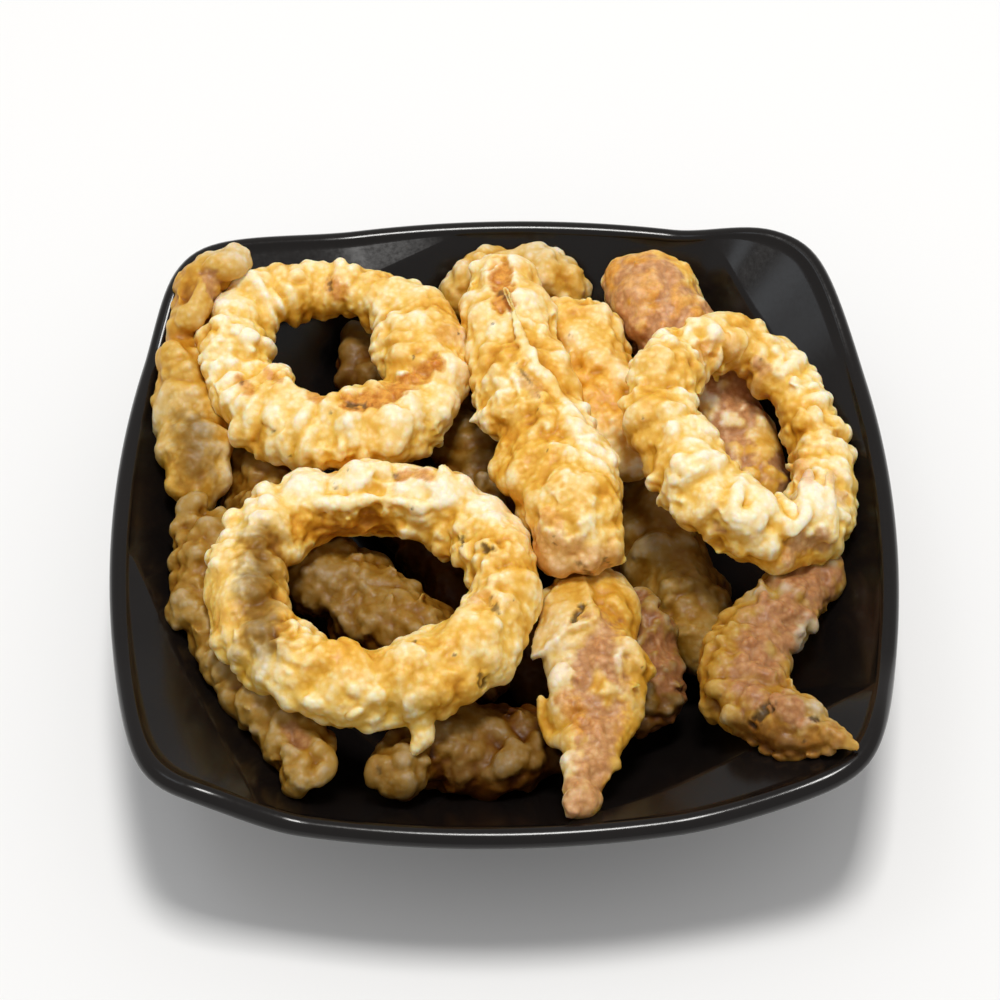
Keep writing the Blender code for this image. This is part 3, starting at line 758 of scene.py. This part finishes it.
MARKS = {
    # Back left ring: brown spot, streaks, and the orange groove with its dark grain
    "ring_back_left": (
        Mark("dark", 0.9, ((329, 278), (331, 288)), 0.7, -0.3),
        Mark("amber", 2.6, ((334, 284), (338, 292)), 0.8, -0.3),
        Mark("amber", 1.4, ((240, 378), (250, 394)), 0.8),
        Mark("dark", 0.6, ((241, 380), (243, 384)), 0.7),
        Mark("amber", 1.1, ((268, 373), (280, 379)), 0.7),
        Mark("amber", 1.5, ((311, 391), (317, 399)), 0.8),
        Mark("amber", 2.5, ((348, 402), (375, 400), (396, 387), (415, 375), (434, 364)), 1.0, -1.0),
        Mark("dark", 0.9, ((344, 402), (352, 405), (368, 404)), 0.8, -0.4),
        Mark("amber", 2.0, ((440, 333), (456, 335)), 0.5),
        Mark("pale", 6.0, ((240, 325), (228, 365), (248, 400)), 0.55),
    ),
    # Front left ring
    "ring_front_left": (
        Mark("amber", 1.3, ((398, 475), (412, 474), (430, 477)), 0.8, -0.2),
        Mark("dark", 0.6, ((392, 472), (398, 475)), 0.6),
        Mark("dark", 0.6, ((335, 486), (337, 489)), 0.7),
        Mark("dark", 0.4, ((349, 472),), 0.6),
        Mark("gold", 4.0, ((305, 526), (345, 531), (390, 528)), 0.9, -0.6),
        Mark("amber", 2.4, ((330, 530), (362, 531)), 0.3),
        Mark("pale", 4.0, ((290, 482), (340, 474), (390, 480), (450, 492), (500, 505)), 0.7),
        # Painted shade on the inner side of this ring's left part
        Mark("shade", 5.0, ((262, 545), (258, 590), (262, 640)), 0.75),
        Mark("dark", 1.1, ((460, 539), (462, 542)), 0.8, -0.5),
        Mark("dark", 1.3, ((486, 545), (490, 550)), 0.8, -0.5),
        Mark("dark", 1.1, ((492, 600), (496, 610)), 0.7, -0.5),
        Mark("amber", 2.0, ((478, 598), (488, 600)), 0.5),
        Mark("dark", 1.2, ((485, 672), (479, 684)), 0.7, -0.4),
        Mark("gold", 6.0, ((262, 560), (270, 600), (262, 630)), 0.6),
        Mark("gold", 6.0, ((340, 650), (400, 655)), 0.5),
        Mark("gold", 6.0, ((505, 560), (510, 610), (490, 640)), 0.5),
    ),
    # Right ring
    "ring_right": (
        Mark("amber", 2.2, ((702, 346), (706, 354)), 0.7, -0.9),
        Mark("amber", 3.6, ((722, 352), (740, 362), (756, 376)), 0.35),
        Mark("skin", 1.8, ((759, 364), (763, 368)), 0.7),
        Mark("dark", 0.5, ((761, 360),), 0.6),
        Mark("gold", 4.5, ((780, 400), (792, 430), (796, 455)), 0.6),
        Mark("amber", 2.5, ((798, 462), (806, 476)), 0.5),
        Mark("skin", 1.6, ((714, 529), (722, 531)), 0.7, -0.4),
        Mark("skin", 2.6, ((800, 546), (824, 540)), 0.8),
        Mark("skin", 1.5, ((788, 558), (792, 550)), 0.8),
        Mark("skin", 2.2, ((836, 478), (842, 496)), 0.55),
        Mark("pale", 5.0, ((812, 490), (808, 530)), 0.7),
        Mark("pale", 4.0, ((720, 525), (760, 540)), 0.5),
        Mark("gold", 6.0, ((655, 370), (650, 410), (668, 450)), 0.35),
    ),
    # Strip in the middle
    "strip_centre": (
        Mark("amber", 3.0, ((501, 272), (504, 300)), 1.0, -1.3),
        Mark("dark", 0.9, ((499, 290), (503, 296)), 0.7),
        Mark("dark", 0.35, ((517, 364), (528, 378), (543, 402)), 0.55),
        Mark("skin", 1.6, ((524, 380), (536, 392)), 0.5),
        Mark("pale", 1.6, ((508, 300), (518, 335), (540, 372), (580, 420)), 0.4),
        Mark("gold", 6.5, ((505, 415), (530, 430), (545, 460)), 0.8, -0.5),
        Mark("pale", 5.0, ((580, 415), (602, 462)), 0.6),
        Mark("gold", 5.0, ((525, 345), (545, 395), (560, 425)), 0.6),
        Mark("skin", 6.0, ((540, 548), (565, 560), (592, 562)), 0.6),
        Mark("dark", 0.7, ((554, 538), (556, 542)), 0.7),
        Mark("dark", 0.8, ((578, 562), (592, 578)), 0.6, -0.3),
        Mark("dark", 0.7, ((606, 560), (610, 562)), 0.7),
        Mark("amber", 2.0, ((548, 514), (556, 524)), 0.6),
    ),
    "strip_centre_right": (
        Mark("dark", 0.6, ((571, 337), (574, 341)), 0.6),
    ),
    # Strips at the left
    "strip_left_back": (
        Mark("skin", 2.2, ((208, 275), (219, 296)), 0.8, -0.6),
        # Painted shade on the lower part of this strip, under the back ring
        Mark("shade", 5.0, ((192, 430), (196, 470)), 0.5),
    ),
    "strip_left_front": (
        Mark("skin", 2.6, ((270, 618), (278, 628)), 0.6),
        Mark("skin", 2.4, ((292, 730), (300, 738)), 0.8),
    ),
    # Squid skin at the back right
    "skin_strip_back": (
        Mark("amber", 9.0, ((620, 270), (660, 300), (690, 330)), 0.75),
        Mark("pale", 3.5, ((632, 286), (640, 305)), 0.6),
        Mark("skin", 4.0, ((618, 300), (630, 345)), 1.0),
        Mark("dark", 1.2, ((628, 344), (633, 349)), 0.8, -0.8),
    ),
    # Tail at the front
    "tail_front": (
        Mark("skin", 6.5, ((592, 640), (600, 690)), 1.0, -0.6),
        Mark("skin", 4.5, ((604, 700), (600, 740), (588, 790), (574, 810)), 0.9),
        Mark("dark", 1.0, ((574, 618), (583, 604)), 0.8, -0.8),
        Mark("amber", 3.5, ((570, 700), (586, 725)), 0.8),
        Mark("gold", 4.0, ((610, 600), (630, 640), (640, 685)), 0.4),
    ),
    # Right tentacle
    "tentacle_right": (
        Mark("skin", 6.5, ((845, 545), (812, 578), (782, 610), (765, 640), (752, 680)), 1.0),
        Mark("pale", 1.6, ((832, 568), (800, 615), (790, 650), (796, 685)), 0.4),
        Mark("gold", 5.0, ((718, 600), (714, 660), (716, 700)), 0.5),
        Mark("skin", 3.4, ((778, 702), (798, 716)), 1.0),
        Mark("dark", 1.5, ((756, 722), (770, 708)), 0.9, -1.0),
        Mark("amber", 5.0, ((755, 738), (800, 747), (826, 742)), 0.6),
        Mark("shade", 4.0, ((748, 730), (790, 752)), 0.3),
        Mark("dark", 0.8, ((811, 717), (817, 719)), 0.9),
    ),
    # Lumps in the shade at the front
    "strip_front": (
        Mark("dark", 0.6, ((378, 768), (380, 774)), 0.6),
    ),
}

# Single dark crumbs, by the pixel of each
CRUMBS = {
    "ring_back_left": ((413, 357), (330, 412), (274, 430), (292, 455), (457, 335)),
    "ring_front_left": ((295, 564), (363, 638), (415, 643), (454, 655), (412, 508), (512, 601),
                        (360, 493)),
    "strip_centre": ((493, 325), (537, 408), (548, 451), (548, 514)),
    "strip_centre_right": ((555, 343),),
    "ring_right": ((733, 440), (645, 418)),
    "tentacle_right": ((804, 741),),
    "tail_front": ((642, 667),),
}


# One piece from all of these

def joined(shells):
    """One mesh from closed shells, each its points and faces, that still pass through each other."""
    faces = []
    count = 0
    for points, triangles in shells:
        faces.append(triangles + count)
        count += len(points)
    result = bpy.data.meshes.new("rough")
    result.from_pydata(np.vstack([points for points, _ in shells]).tolist(), [], np.vstack(faces).tolist())
    return result


def remeshed(mesh, voxel):
    """One closed skin round a mesh whose parts pass through each other."""
    obj = bpy.data.objects.new("rough", mesh)
    bpy.context.scene.collection.objects.link(obj)
    modifier = obj.modifiers.new("remesh", "REMESH")
    modifier.mode = "VOXEL"
    modifier.voxel_size = voxel
    graph = bpy.context.evaluated_depsgraph_get()
    result = bpy.data.meshes.new_from_object(obj.evaluated_get(graph))
    bpy.data.objects.remove(obj)
    return result


def largest_part(mesh):
    """Drops islands that don't hang together with the piece."""
    _, edges = mesh_arrays(mesh)
    labels = np.arange(len(mesh.vertices))
    while True:
        lower = np.minimum(labels[edges[:, 0]], labels[edges[:, 1]])
        merged = labels.copy()
        np.minimum.at(merged, edges[:, 0], lower)
        np.minimum.at(merged, edges[:, 1], lower)
        merged = merged[merged]
        if (merged == labels).all():
            break
        labels = merged
    largest = np.bincount(labels).argmax()
    stray = np.flatnonzero(labels != largest)
    if len(stray) == 0:
        return
    bm = bmesh.new()
    bm.from_mesh(mesh)
    bm.verts.ensure_lookup_table()
    bmesh.ops.delete(bm, geom=[bm.verts[k] for k in stray.tolist()], context="VERTS")
    bm.to_mesh(mesh)
    bm.free()


# Marks of kind shade are painted shade
MARK_KINDS = ("skin", "amber", "dark", "pale", "gold", "shade")
MARK_EDGE = (0.55, 1.15)        # where a mark begins and ends to fade, as a share of its radius
SOFT_EDGE = (0.1, 1.6)          # the same for a mark of painted shade


def store(mesh, name, values):
    attribute = mesh.attributes.new(name, "FLOAT", "POINT")
    attribute.data.foreach_set("value", np.clip(values, 0.0, 1.0).astype(np.float32))


def marked(look, points, normals):
    """Each kind of mark at each point, from 0 to 1, and how far the marks raise the crust, in millimetres."""
    kinds = {kind: np.zeros(len(points)) for kind in MARK_KINDS + ("rise",)}
    crumbs = [Mark("dark", CRUMB_RADIUS, (pixel,), CRUMB_STRENGTH) for pixel in CRUMBS.get(look.node, ())]
    marks = list(MARKS.get(look.node, ())) + crumbs
    if not marks:
        return kinds
    to_camera = np.array(camera_place()) - points
    depths = np.linalg.norm(to_camera, axis=1)
    facing = smoothstep(-0.1, 0.2, np.einsum("ij,ij->i", to_camera, normals) / depths)
    places = picture_places(points)
    sizes = depths / MM / FOCAL_PIXELS
    speckle = smoothstep(-0.25, 0.15, noise(points, 1.4 * MM, look.seed + 52))
    islands = smoothstep(-0.65, -0.15, noise(points, 5.0 * MM, look.seed + 53))
    edge = 0.45 * noise(points, 2.6 * MM, look.seed + 50) + 0.25 * noise(points, 1.2 * MM, look.seed + 51)
    for mark in marks:
        inner, outer = SOFT_EDGE if mark.kind == "shade" else MARK_EDGE
        share = facing * (1.0 - smoothstep(inner, outer, streak_distance(mark, places, sizes) + edge))
        if mark.kind == "dark":
            share *= speckle
        if mark.kind == "skin":
            share *= islands
        kinds[mark.kind] = np.maximum(kinds[mark.kind], mark.strength * share)
        kinds["rise"] += mark.rise * share
    return kinds


def rough_piece(look, base, tree):
    """The solid with its lobes, flakes, strands and flaps, as one closed skin."""
    rng = np.random.default_rng(look.seed)
    balls = spread_lobes(base, look, rng, LOBE_WIDTHS, look.lobes, LOBE_PATCH, LOBE_RELIEF)
    balls += spread_lobes(base, look, rng, KNOB_WIDTHS, look.knobs, KNOB_PATCH, KNOB_RELIEF)
    balls += flakes_on(base, look, rng)
    balls += [lobe_points(lobe, tree) for lobe in LOBES.get(look.node, ())]
    for strand in STRANDS.get(look.node, ()):
        balls += strand_balls(strand, tree)
    shells = [(mesh_arrays(base)[0], triangles_of(base))] + [(ball, BALL_FACES) for ball in balls]
    shells += [flap_sheet(flap, tree) for flap in FLAPS.get(look.node, ())]
    mesh = remeshed(joined(shells), look.voxel * MM)
    largest_part(mesh)
    points, edges = mesh_arrays(mesh)
    set_points(mesh, smoothed(points, edges, 5))
    return mesh


def lump_heights(look, points, base, tree):
    """How far the crust's swells, puffs and beads stand out at each point, in millimetres."""
    base_points, base_edges = mesh_arrays(base)
    middle = carried(points, base_points, centre_line(base_points, base_edges))
    across = warped(middle + (points - middle) / look.ribbed, 10.0 * MM, look.seed + 3)
    uneven = 0.35 + 0.75 * smoothstep(-0.5, 0.5, noise(points, 16.0 * MM, look.seed + 11))
    beaded = 0.10 + 0.34 * smoothstep(-0.3, 0.5, noise(points, 12.0 * MM, look.seed + 12))
    swells = puffs(across, SWELL_SIZE * look.size * MM, look.seed + 5, SWELL_CRISPNESS)
    lumps = puffs(across, look.size * MM, look.seed, PUFF_CRISPNESS)
    shifted = warped(points, 5.0 * MM, look.seed + 8)
    beads = puffs(shifted, BEAD_SIZE * MM, look.seed + 9, BEAD_CRISPNESS)
    heights = look.relief * (SWELL_RELIEF * swells + uneven * lumps) + beaded * beads
    return heights * (1.0 - CALM_SHARE * smoothstep(CALM_FROM, CALM_TO, stand_off(points, tree) / MM))


def store_finish(mesh, look, kinds):
    """Keeps at each point how pale, golden, bare, amber or dark the crust is, and its painted light and
    painted shade (partly oil soaking), from 0 to 1.
    """
    points, edges = mesh_arrays(mesh)
    normals = vertex_normals(mesh)
    soft = smoothed(points, edges, 14)
    broad = smoothed(soft, edges, 60)
    crest = np.einsum("ij,ij->i", points - soft, normals) / MM
    swell = np.einsum("ij,ij->i", soft - broad, normals) / MM
    open_up = smoothed(normals[:, 2:], edges, 10)[:, 0] - 0.45
    patchy = noise(points, 15.0 * MM, look.seed + 20) + 0.6 * noise(points, 6.0 * MM, look.seed + 21)
    # Painted light and shade: tops that face up are painted paler, crests paler and creases darker, partly
    # the batter's own thick and thin tone
    lit = 0.38 * np.tanh(1.3 * crest) + 0.20 * np.tanh(1.2 * swell) + 0.20 * open_up - 0.18 * patchy
    store(mesh, "crest", 0.55 + lit + 0.22 * kinds["pale"] - 0.12 * kinds["gold"])
    store(mesh, "gold", 0.42 + look.gold + 0.55 * patchy + 0.6 * kinds["gold"] - 0.8 * kinds["pale"])
    covered = (1.0 - kinds["pale"]) * (1.0 - kinds["gold"])
    bare = bare_share(look, points, 0.8 * crest + 0.3 * swell) * covered
    store(mesh, "skin", np.maximum(bare, kinds["skin"]))
    # Painted shade: pieces low in the dish, each piece's own shade and the shade marks darken the crust,
    # partly as oil soaking, and crests get less of it
    low = smoothstep(SHADY_TO, SHADY_FROM, points[:, 2] / MM)
    soak_and_painted_shade = look.shade * (0.75 + 0.25 * low) + 0.4 * low + kinds["shade"]
    store(mesh, "shade", soak_and_painted_shade - 0.12 * np.tanh(crest))
    store(mesh, "amber", kinds["amber"])
    store(mesh, "dark", kinds["dark"])


def bare_share(look, points, proud):
    """Where the squid's own skin shows: in patches that cover the piece's share of bare skin."""
    if look.skin == 0.0:
        return np.zeros(len(points))
    bare = noise(points, 13.0 * MM, look.seed + 30) + 0.45 * noise(points, 4.0 * MM, look.seed + 31) - proud
    level = np.quantile(bare, 1.0 - look.skin)
    return smoothstep(level - 0.16, level + 0.16, bare)


def dressed(look):
    """The finished piece for a node, with what its finish needs to know at each point."""
    base = base_of(look.node)
    base_points, _ = mesh_arrays(base)
    tree = BVHTree.FromPolygons([Vector(p) for p in base_points], triangles_of(base).tolist())
    mesh = rough_piece(look, base, tree)
    points, edges = mesh_arrays(mesh)
    normals = smoothed(vertex_normals(mesh), edges, 4)
    kinds = marked(look, points, normals)
    heights = lump_heights(look, points, base, tree) + kinds["rise"]
    points = smoothed(points + normals * heights[:, None] * MM, edges, 1)
    grain = GRAIN_RELIEF * noise(points, GRAIN_SIZE * MM, look.seed + 10)
    set_points(mesh, points + normals * grain[:, None] * MM)
    store_finish(mesh, look, kinds)
    mesh.name = look.node + "_batter"
    mesh.shade_smooth()
    return mesh


# Materials

class Nodes:
    """Short ways to add and join the nodes of one material."""

    def __init__(self, name):
        self.material = bpy.data.materials.new(name)
        self.material.use_nodes = True
        self.tree = self.material.node_tree
        self.shader = self.tree.nodes["Principled BSDF"]

    def add(self, kind, **inputs):
        node = self.tree.nodes.new(kind)
        for name, value in inputs.items():
            self.feed(node.inputs[name.replace("_", " ")], value)
        return node

    def feed(self, socket, value):
        if isinstance(value, bpy.types.NodeSocket):
            self.tree.links.new(value, socket)
        else:
            socket.default_value = value

    def attribute(self, name):
        node = self.tree.nodes.new("ShaderNodeAttribute")
        node.attribute_name = name
        return node.outputs["Fac"]

    def noise(self, scale, detail, roughness=0.5):
        where = self.tree.nodes.new("ShaderNodeTexCoord").outputs["Object"]
        node = self.add("ShaderNodeTexNoise", Vector=where, Scale=scale, Detail=detail, Roughness=roughness)
        return node.outputs["Fac"]

    def cells(self, scale):
        where = self.tree.nodes.new("ShaderNodeTexCoord").outputs["Object"]
        node = self.add("ShaderNodeTexVoronoi", Vector=where, Scale=scale)
        return node.outputs["Distance"]

    def math(self, operation, first, second):
        node = self.tree.nodes.new("ShaderNodeMath")
        node.operation = operation
        self.feed(node.inputs[0], first)
        self.feed(node.inputs[1], second)
        return node.outputs[0]

    def span(self, value, low, high, to_low=0.0, to_high=1.0):
        node = self.tree.nodes.new("ShaderNodeMapRange")
        node.clamp = True
        for index, number in enumerate((value, low, high, to_low, to_high)):
            self.feed(node.inputs[index], number)
        return node.outputs[0]

    def mix(self, share, first, second):
        node = self.tree.nodes.new("ShaderNodeMix")
        node.data_type = "RGBA"
        self.feed(node.inputs[0], share)
        self.feed(node.inputs[6], first)
        self.feed(node.inputs[7], second)
        return node.outputs[2]

    def tinted(self, colour, tint):
        node = self.tree.nodes.new("ShaderNodeMix")
        node.data_type = "RGBA"
        node.blend_type = "MULTIPLY"
        self.feed(node.inputs[0], 1.0)
        self.feed(node.inputs[6], colour)
        self.feed(node.inputs[7], tint)
        return node.outputs[2]

    def ramp(self, value, stops):
        node = self.tree.nodes.new("ShaderNodeValToRGB")
        elements = node.color_ramp.elements
        for index, (position, colour) in enumerate(stops):
            element = elements[index] if index < 2 else elements.new(position)
            element.position = position
            element.color = (*colour, 1.0)
        self.feed(node.inputs[0], value)
        return node.outputs[0]

    def bump(self, height, distance, strength):
        node = self.add("ShaderNodeBump", Height=height, Distance=distance, Strength=strength)
        return node.outputs["Normal"]


# Linear colours of the batter from its creases to its crests, the first and the last stop first: partly the
# batter's own tone, amber where thin and pale on thick lumps, partly painted shade in the creases and painted
# highlight on the crests
PALE_CRUST = (
    (0.06, (0.58, 0.24, 0.012)),
    (0.94, (0.96, 0.86, 0.68)),
    (0.30, (0.81, 0.44, 0.036)),
    (0.52, (0.88, 0.58, 0.13)),
    (0.73, (0.93, 0.74, 0.38)),
)
GOLDEN_CRUST = (
    (0.10, (0.42, 0.14, 0.004)),
    (0.96, (0.92, 0.72, 0.38)),
    (0.36, (0.68, 0.30, 0.016)),
    (0.58, (0.80, 0.44, 0.052)),
    (0.78, (0.88, 0.58, 0.15)),
)
FLESH = (
    (0.20, (0.40, 0.17, 0.060)),
    (0.85, (0.77, 0.47, 0.23)),
    (0.52, (0.61, 0.31, 0.125)),
)
DEEP_AMBER = (0.52, 0.17, 0.010, 1.0)
BRIGHT_AMBER = (0.78, 0.37, 0.06, 1.0)
CHARRED = (0.055, 0.028, 0.006, 1.0)
# Painted shade: the tints that darken the batter and the skin where they lie low or under other pieces, for
# the batter partly oil soaking
SOAK_AND_PAINTED_SHADE_TINT = (0.11, 0.058, 0.018, 1.0)
SHADED_FLESH_TINT = (0.40, 0.30, 0.22, 1.0)
DARK_GLAZE = (0.0045, 0.0034, 0.0030, 1.0)
HAZY_GLAZE = (0.0080, 0.0062, 0.0056, 1.0)


def batter_colour(nodes, grains, mottle):
    """The batter's colour, with the squid's skin, the oil, the painted shade and the dark spots in it."""
    tone_and_painted_light = nodes.math("ADD", nodes.attribute("crest"), nodes.span(grains, 0.0, 1.0, -0.09, 0.09))
    tone_and_painted_light = nodes.math("ADD", tone_and_painted_light, nodes.span(mottle, 0.3, 0.7, -0.07, 0.07))
    pale = nodes.ramp(tone_and_painted_light, PALE_CRUST)
    golden = nodes.ramp(tone_and_painted_light, GOLDEN_CRUST)
    batter = nodes.mix(nodes.span(nodes.attribute("gold"), 0.35, 0.85), pale, golden)
    patches = nodes.span(mottle, 0.3, 0.7, 0.25, 0.60)
    flesh = nodes.ramp(nodes.math("ADD", patches, nodes.span(grains, 0.0, 1.0, 0.0, 0.3)), FLESH)
    amber = nodes.mix(nodes.span(mottle, 0.35, 0.65), DEEP_AMBER, BRIGHT_AMBER)
    shade = nodes.attribute("shade")
    batter = nodes.mix(nodes.attribute("amber"), batter, amber)
    # Painted shade: batter and skin darkened by the shade attribute
    batter = nodes.mix(shade, batter, nodes.tinted(batter, SOAK_AND_PAINTED_SHADE_TINT))
    flesh = nodes.mix(shade, flesh, nodes.tinted(flesh, SHADED_FLESH_TINT))
    colour = nodes.mix(nodes.attribute("skin"), batter, flesh)
    return nodes.mix(nodes.attribute("dark"), colour, CHARRED)


def batter_material():
    nodes = Nodes("fried_batter")
    inputs = nodes.shader.inputs
    grains = nodes.span(nodes.cells(620.0), 0.05, 0.60, 1.0, 0.0)
    mottle = nodes.noise(500.0, 3.0, 0.6)
    nodes.feed(inputs["Base Color"], batter_colour(nodes, grains, mottle))
    nodes.feed(inputs["Roughness"], nodes.span(mottle, 0.3, 0.7, 0.36, 0.52))
    # Painted shade: less reflection where the crust is shaded
    nodes.feed(inputs["Specular IOR Level"], nodes.span(nodes.attribute("shade"), 0.2, 1.0, 0.28, 0.12))
    inputs["Subsurface Weight"].default_value = 0.6
    inputs["Subsurface Radius"].default_value = (1.0, 0.52, 0.16)
    inputs["Subsurface Scale"].default_value = 2.8 * MM
    inputs["Coat Weight"].default_value = 0.04
    inputs["Coat Roughness"].default_value = 0.25
    rough = nodes.math("ADD", grains, nodes.span(nodes.noise(1500.0, 2.0), 0.0, 1.0, 0.0, 0.3))
    nodes.feed(inputs["Normal"], nodes.bump(rough, 0.20 * MM, 0.5))
    return nodes.material


def glaze_material():
    nodes = Nodes("black_melamine")
    inputs = nodes.shader.inputs
    nodes.feed(inputs["Base Color"], nodes.mix(nodes.noise(60.0, 4.0), DARK_GLAZE, HAZY_GLAZE))
    nodes.feed(inputs["Roughness"], nodes.span(nodes.noise(900.0, 5.0, 0.7), 0.35, 0.75, 0.15, 0.24))
    inputs["Specular IOR Level"].default_value = 0.32
    nodes.feed(inputs["Normal"], nodes.bump(nodes.noise(350.0, 3.0), 0.04 * MM, 0.25))
    return nodes.material


# Dish

def bulged_square(angle, half_width, bulge_radius, sharpness):
    """Distance from the centre to a square outline whose sides are arcs and whose corners are rounded."""
    offset = bulge_radius - half_width
    total = 0.0
    for side in range(4):
        turned = angle - side * math.pi / 2
        reach = -offset * math.cos(turned) + math.sqrt(bulge_radius**2 - (offset * math.sin(turned))**2)
        total += reach**-sharpness
    return total**(-1.0 / sharpness)


def rim_radius(angle):
    return bulged_square(angle, HALF_WIDTH, SIDE_RADIUS, CORNER_SHARPNESS)


def rim_height(angle):
    """The rim rises gently towards a corner and drops quickly where the next ledge begins."""
    turn = math.degrees(angle) % 90.0
    bump = smoothstep(22.0, 47.0, turn) * (1.0 - smoothstep(49.0, 63.0, turn))
    return RIM_HEIGHT + CORNER_RISE * float(bump)


def well_radius(angle):
    """The well's edge: the inner edge of the lip, cut across each corner by the straight edge of a ledge."""
    reach = rim_radius(angle) - LIP_WIDTH
    for side in range(4):
        lean = math.cos(angle - math.radians(90.0 * side + LEDGE_TWIST))
        if lean > 0.0:
            reach = min(reach, LEDGE_DISTANCE / lean)
    return reach


def well_height(angle):
    ledge = rim_radius(angle) - LIP_WIDTH - well_radius(angle)
    return rim_height(angle) - LIP_FALL - LEDGE_SLOPE * ledge


def floor_radius(angle):
    return bulged_square(angle - math.radians(FLOOR_TWIST), FLOOR_HALF_WIDTH, 3.0 * FLOOR_HALF_WIDTH, 12.0)


def wall_point(angle, share):
    radius = floor_radius(angle) + share * (well_radius(angle) - floor_radius(angle))
    sag = WALL_SAG * math.sin(math.pi * share)
    return radius, FLOOR_TOP + share * (well_height(angle) - FLOOR_TOP) - sag


def dish_stations(angle):
    """Radius and height of each outline of the dish at this angle, from the floor out and back underneath."""
    rim, top = rim_radius(angle), rim_height(angle)
    floor = floor_radius(angle)
    inside = [(share * floor, FLOOR_TOP) for share in FLOOR_SHARES]
    inside += [wall_point(angle, share) for share in WALL_SHARES]
    edge = wall_point(angle, 1.0)
    lip = (rim - RIM_PROFILE[0][0] * MM, top - RIM_PROFILE[0][1] * MM)
    inside += [(edge[0] + share * (lip[0] - edge[0]), edge[1] + share * (lip[1] - edge[1]))
               for share in LIP_SHARES]
    rolled_rim = [(rim - inset * MM, top - drop * MM) for inset, drop in RIM_PROFILE]
    outside = [(edge[0] - 0.6 * MM, edge[1] - 1.25 * WALL_THICKNESS)]
    for share in UNDER_SHARES:
        radius, height = wall_point(angle, share)
        outside.append((radius, height - 1.3 * WALL_THICKNESS))
    under = FLOOR_TOP - WALL_THICKNESS
    outside += [
        (FOOT_OUTER * floor + 0.6 * MM, under),
        (FOOT_OUTER * floor + 0.1 * MM, 0.3 * MM),
        (FOOT_OUTER * floor - 0.3 * MM, 0.0),
        (FOOT_INNER * floor + 0.3 * MM, 0.0),
        (FOOT_INNER * floor - 0.6 * MM, FOOT_DEPTH),
    ]
    return inside + rolled_rim + outside


def add_dish(material):
    rows = []
    turn = 2.0 * math.pi / DISH_STEPS
    for step in range(DISH_STEPS):
        angle = math.radians(CREASE_ANGLE) + step * turn
        rows.append([(r * math.cos(angle), r * math.sin(angle), h) for r, h in dish_stations(angle)])
    bm = bmesh.new()
    grid = [[bm.verts.new(point) for point in row] for row in rows]
    floor_centre = bm.verts.new((0.0, 0.0, FLOOR_TOP))
    under_centre = bm.verts.new((0.0, 0.0, FOOT_DEPTH))
    for step, row in enumerate(grid):
        after = grid[(step + 1) % DISH_STEPS]
        bm.faces.new((floor_centre, row[0], after[0]))
        bm.faces.new((under_centre, after[-1], row[-1]))
        for k in range(len(row) - 1):
            bm.faces.new((row[k], row[k + 1], after[k + 1], after[k]))
    bmesh.ops.recalc_face_normals(bm, faces=bm.faces)
    mesh = bpy.data.meshes.new("glazed_dish")
    bm.to_mesh(mesh)
    bm.free()
    mesh.shade_smooth()
    mesh.materials.append(material)
    obj = bpy.data.objects.new("glazed_dish", mesh)
    bpy.context.scene.collection.objects.link(obj)
    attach(obj, "root")
    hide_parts("dish")


def add_food(look, material):
    mesh = dressed(look)
    mesh.materials.clear()
    mesh.materials.append(material)
    obj = bpy.data.objects.new(look.node + "_batter", mesh)
    bpy.context.scene.collection.objects.link(obj)
    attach(obj, "root")
    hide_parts(look.node)


# Table and light

TABLE_HALF = 3.0
KEY_PLACE = (0.06, 0.18, 1.7)
KEY_SIZE = (0.36, 0.36)
KEY_WATTS = 18.5
KEY_COLOUR = (1.0, 0.985, 0.96)
WINDOW_PLACE = (-0.65, 0.27, 1.6)
WINDOW_SIZE = (0.5, 0.35)
WINDOW_WATTS = 0.9
WINDOW_COLOUR = (0.84, 0.92, 1.0)
LIGHTS_AIM = (0.0, 0.0, 0.03)


def add_table():
    nodes = Nodes("white_table")
    nodes.shader.inputs["Base Color"].default_value = (0.86, 0.86, 0.86, 1.0)
    nodes.shader.inputs["Roughness"].default_value = 0.75
    nodes.shader.inputs["Emission Color"].default_value = (1.0, 1.0, 1.0, 1.0)
    nodes.shader.inputs["Emission Strength"].default_value = 0.02
    mesh = bpy.data.meshes.new("table")
    corners = [(x * TABLE_HALF, y * TABLE_HALF, 0.0) for x, y in ((-1, -1), (1, -1), (1, 1), (-1, 1))]
    mesh.from_pydata(corners, [], [(0, 1, 2, 3)])
    mesh.materials.append(nodes.material)
    table = bpy.data.objects.new("table", mesh)
    bpy.context.scene.collection.objects.link(table)
    table.location.z = -0.2 * MM


def add_light(name, place, size, watts, colour):
    data = bpy.data.lights.new(name, "AREA")
    data.shape = "RECTANGLE"
    data.size, data.size_y = size
    data.energy = watts
    data.color = colour
    light = bpy.data.objects.new(name, data)
    bpy.context.scene.collection.objects.link(light)
    light.location = place
    light.rotation_euler = (Vector(LIGHTS_AIM) - Vector(place)).to_track_quat("-Z", "Y").to_euler()


def add_lights():
    bpy.context.scene.view_settings.view_transform = "Standard"
    world = bpy.data.worlds.new("studio")
    world.use_nodes = True
    background = world.node_tree.nodes["Background"]
    background.inputs["Color"].default_value = (1.0, 0.995, 0.99, 1.0)
    background.inputs["Strength"].default_value = 0.50
    bpy.context.scene.world = world
    add_light("overhead", KEY_PLACE, KEY_SIZE, KEY_WATTS, KEY_COLOUR)
    add_light("window", WINDOW_PLACE, WINDOW_SIZE, WINDOW_WATTS, WINDOW_COLOUR)


add_camera()
add_dish(glaze_material())
batter = batter_material()
for look in LOOKS:
    add_food(look, batter)
add_table()
add_lights()
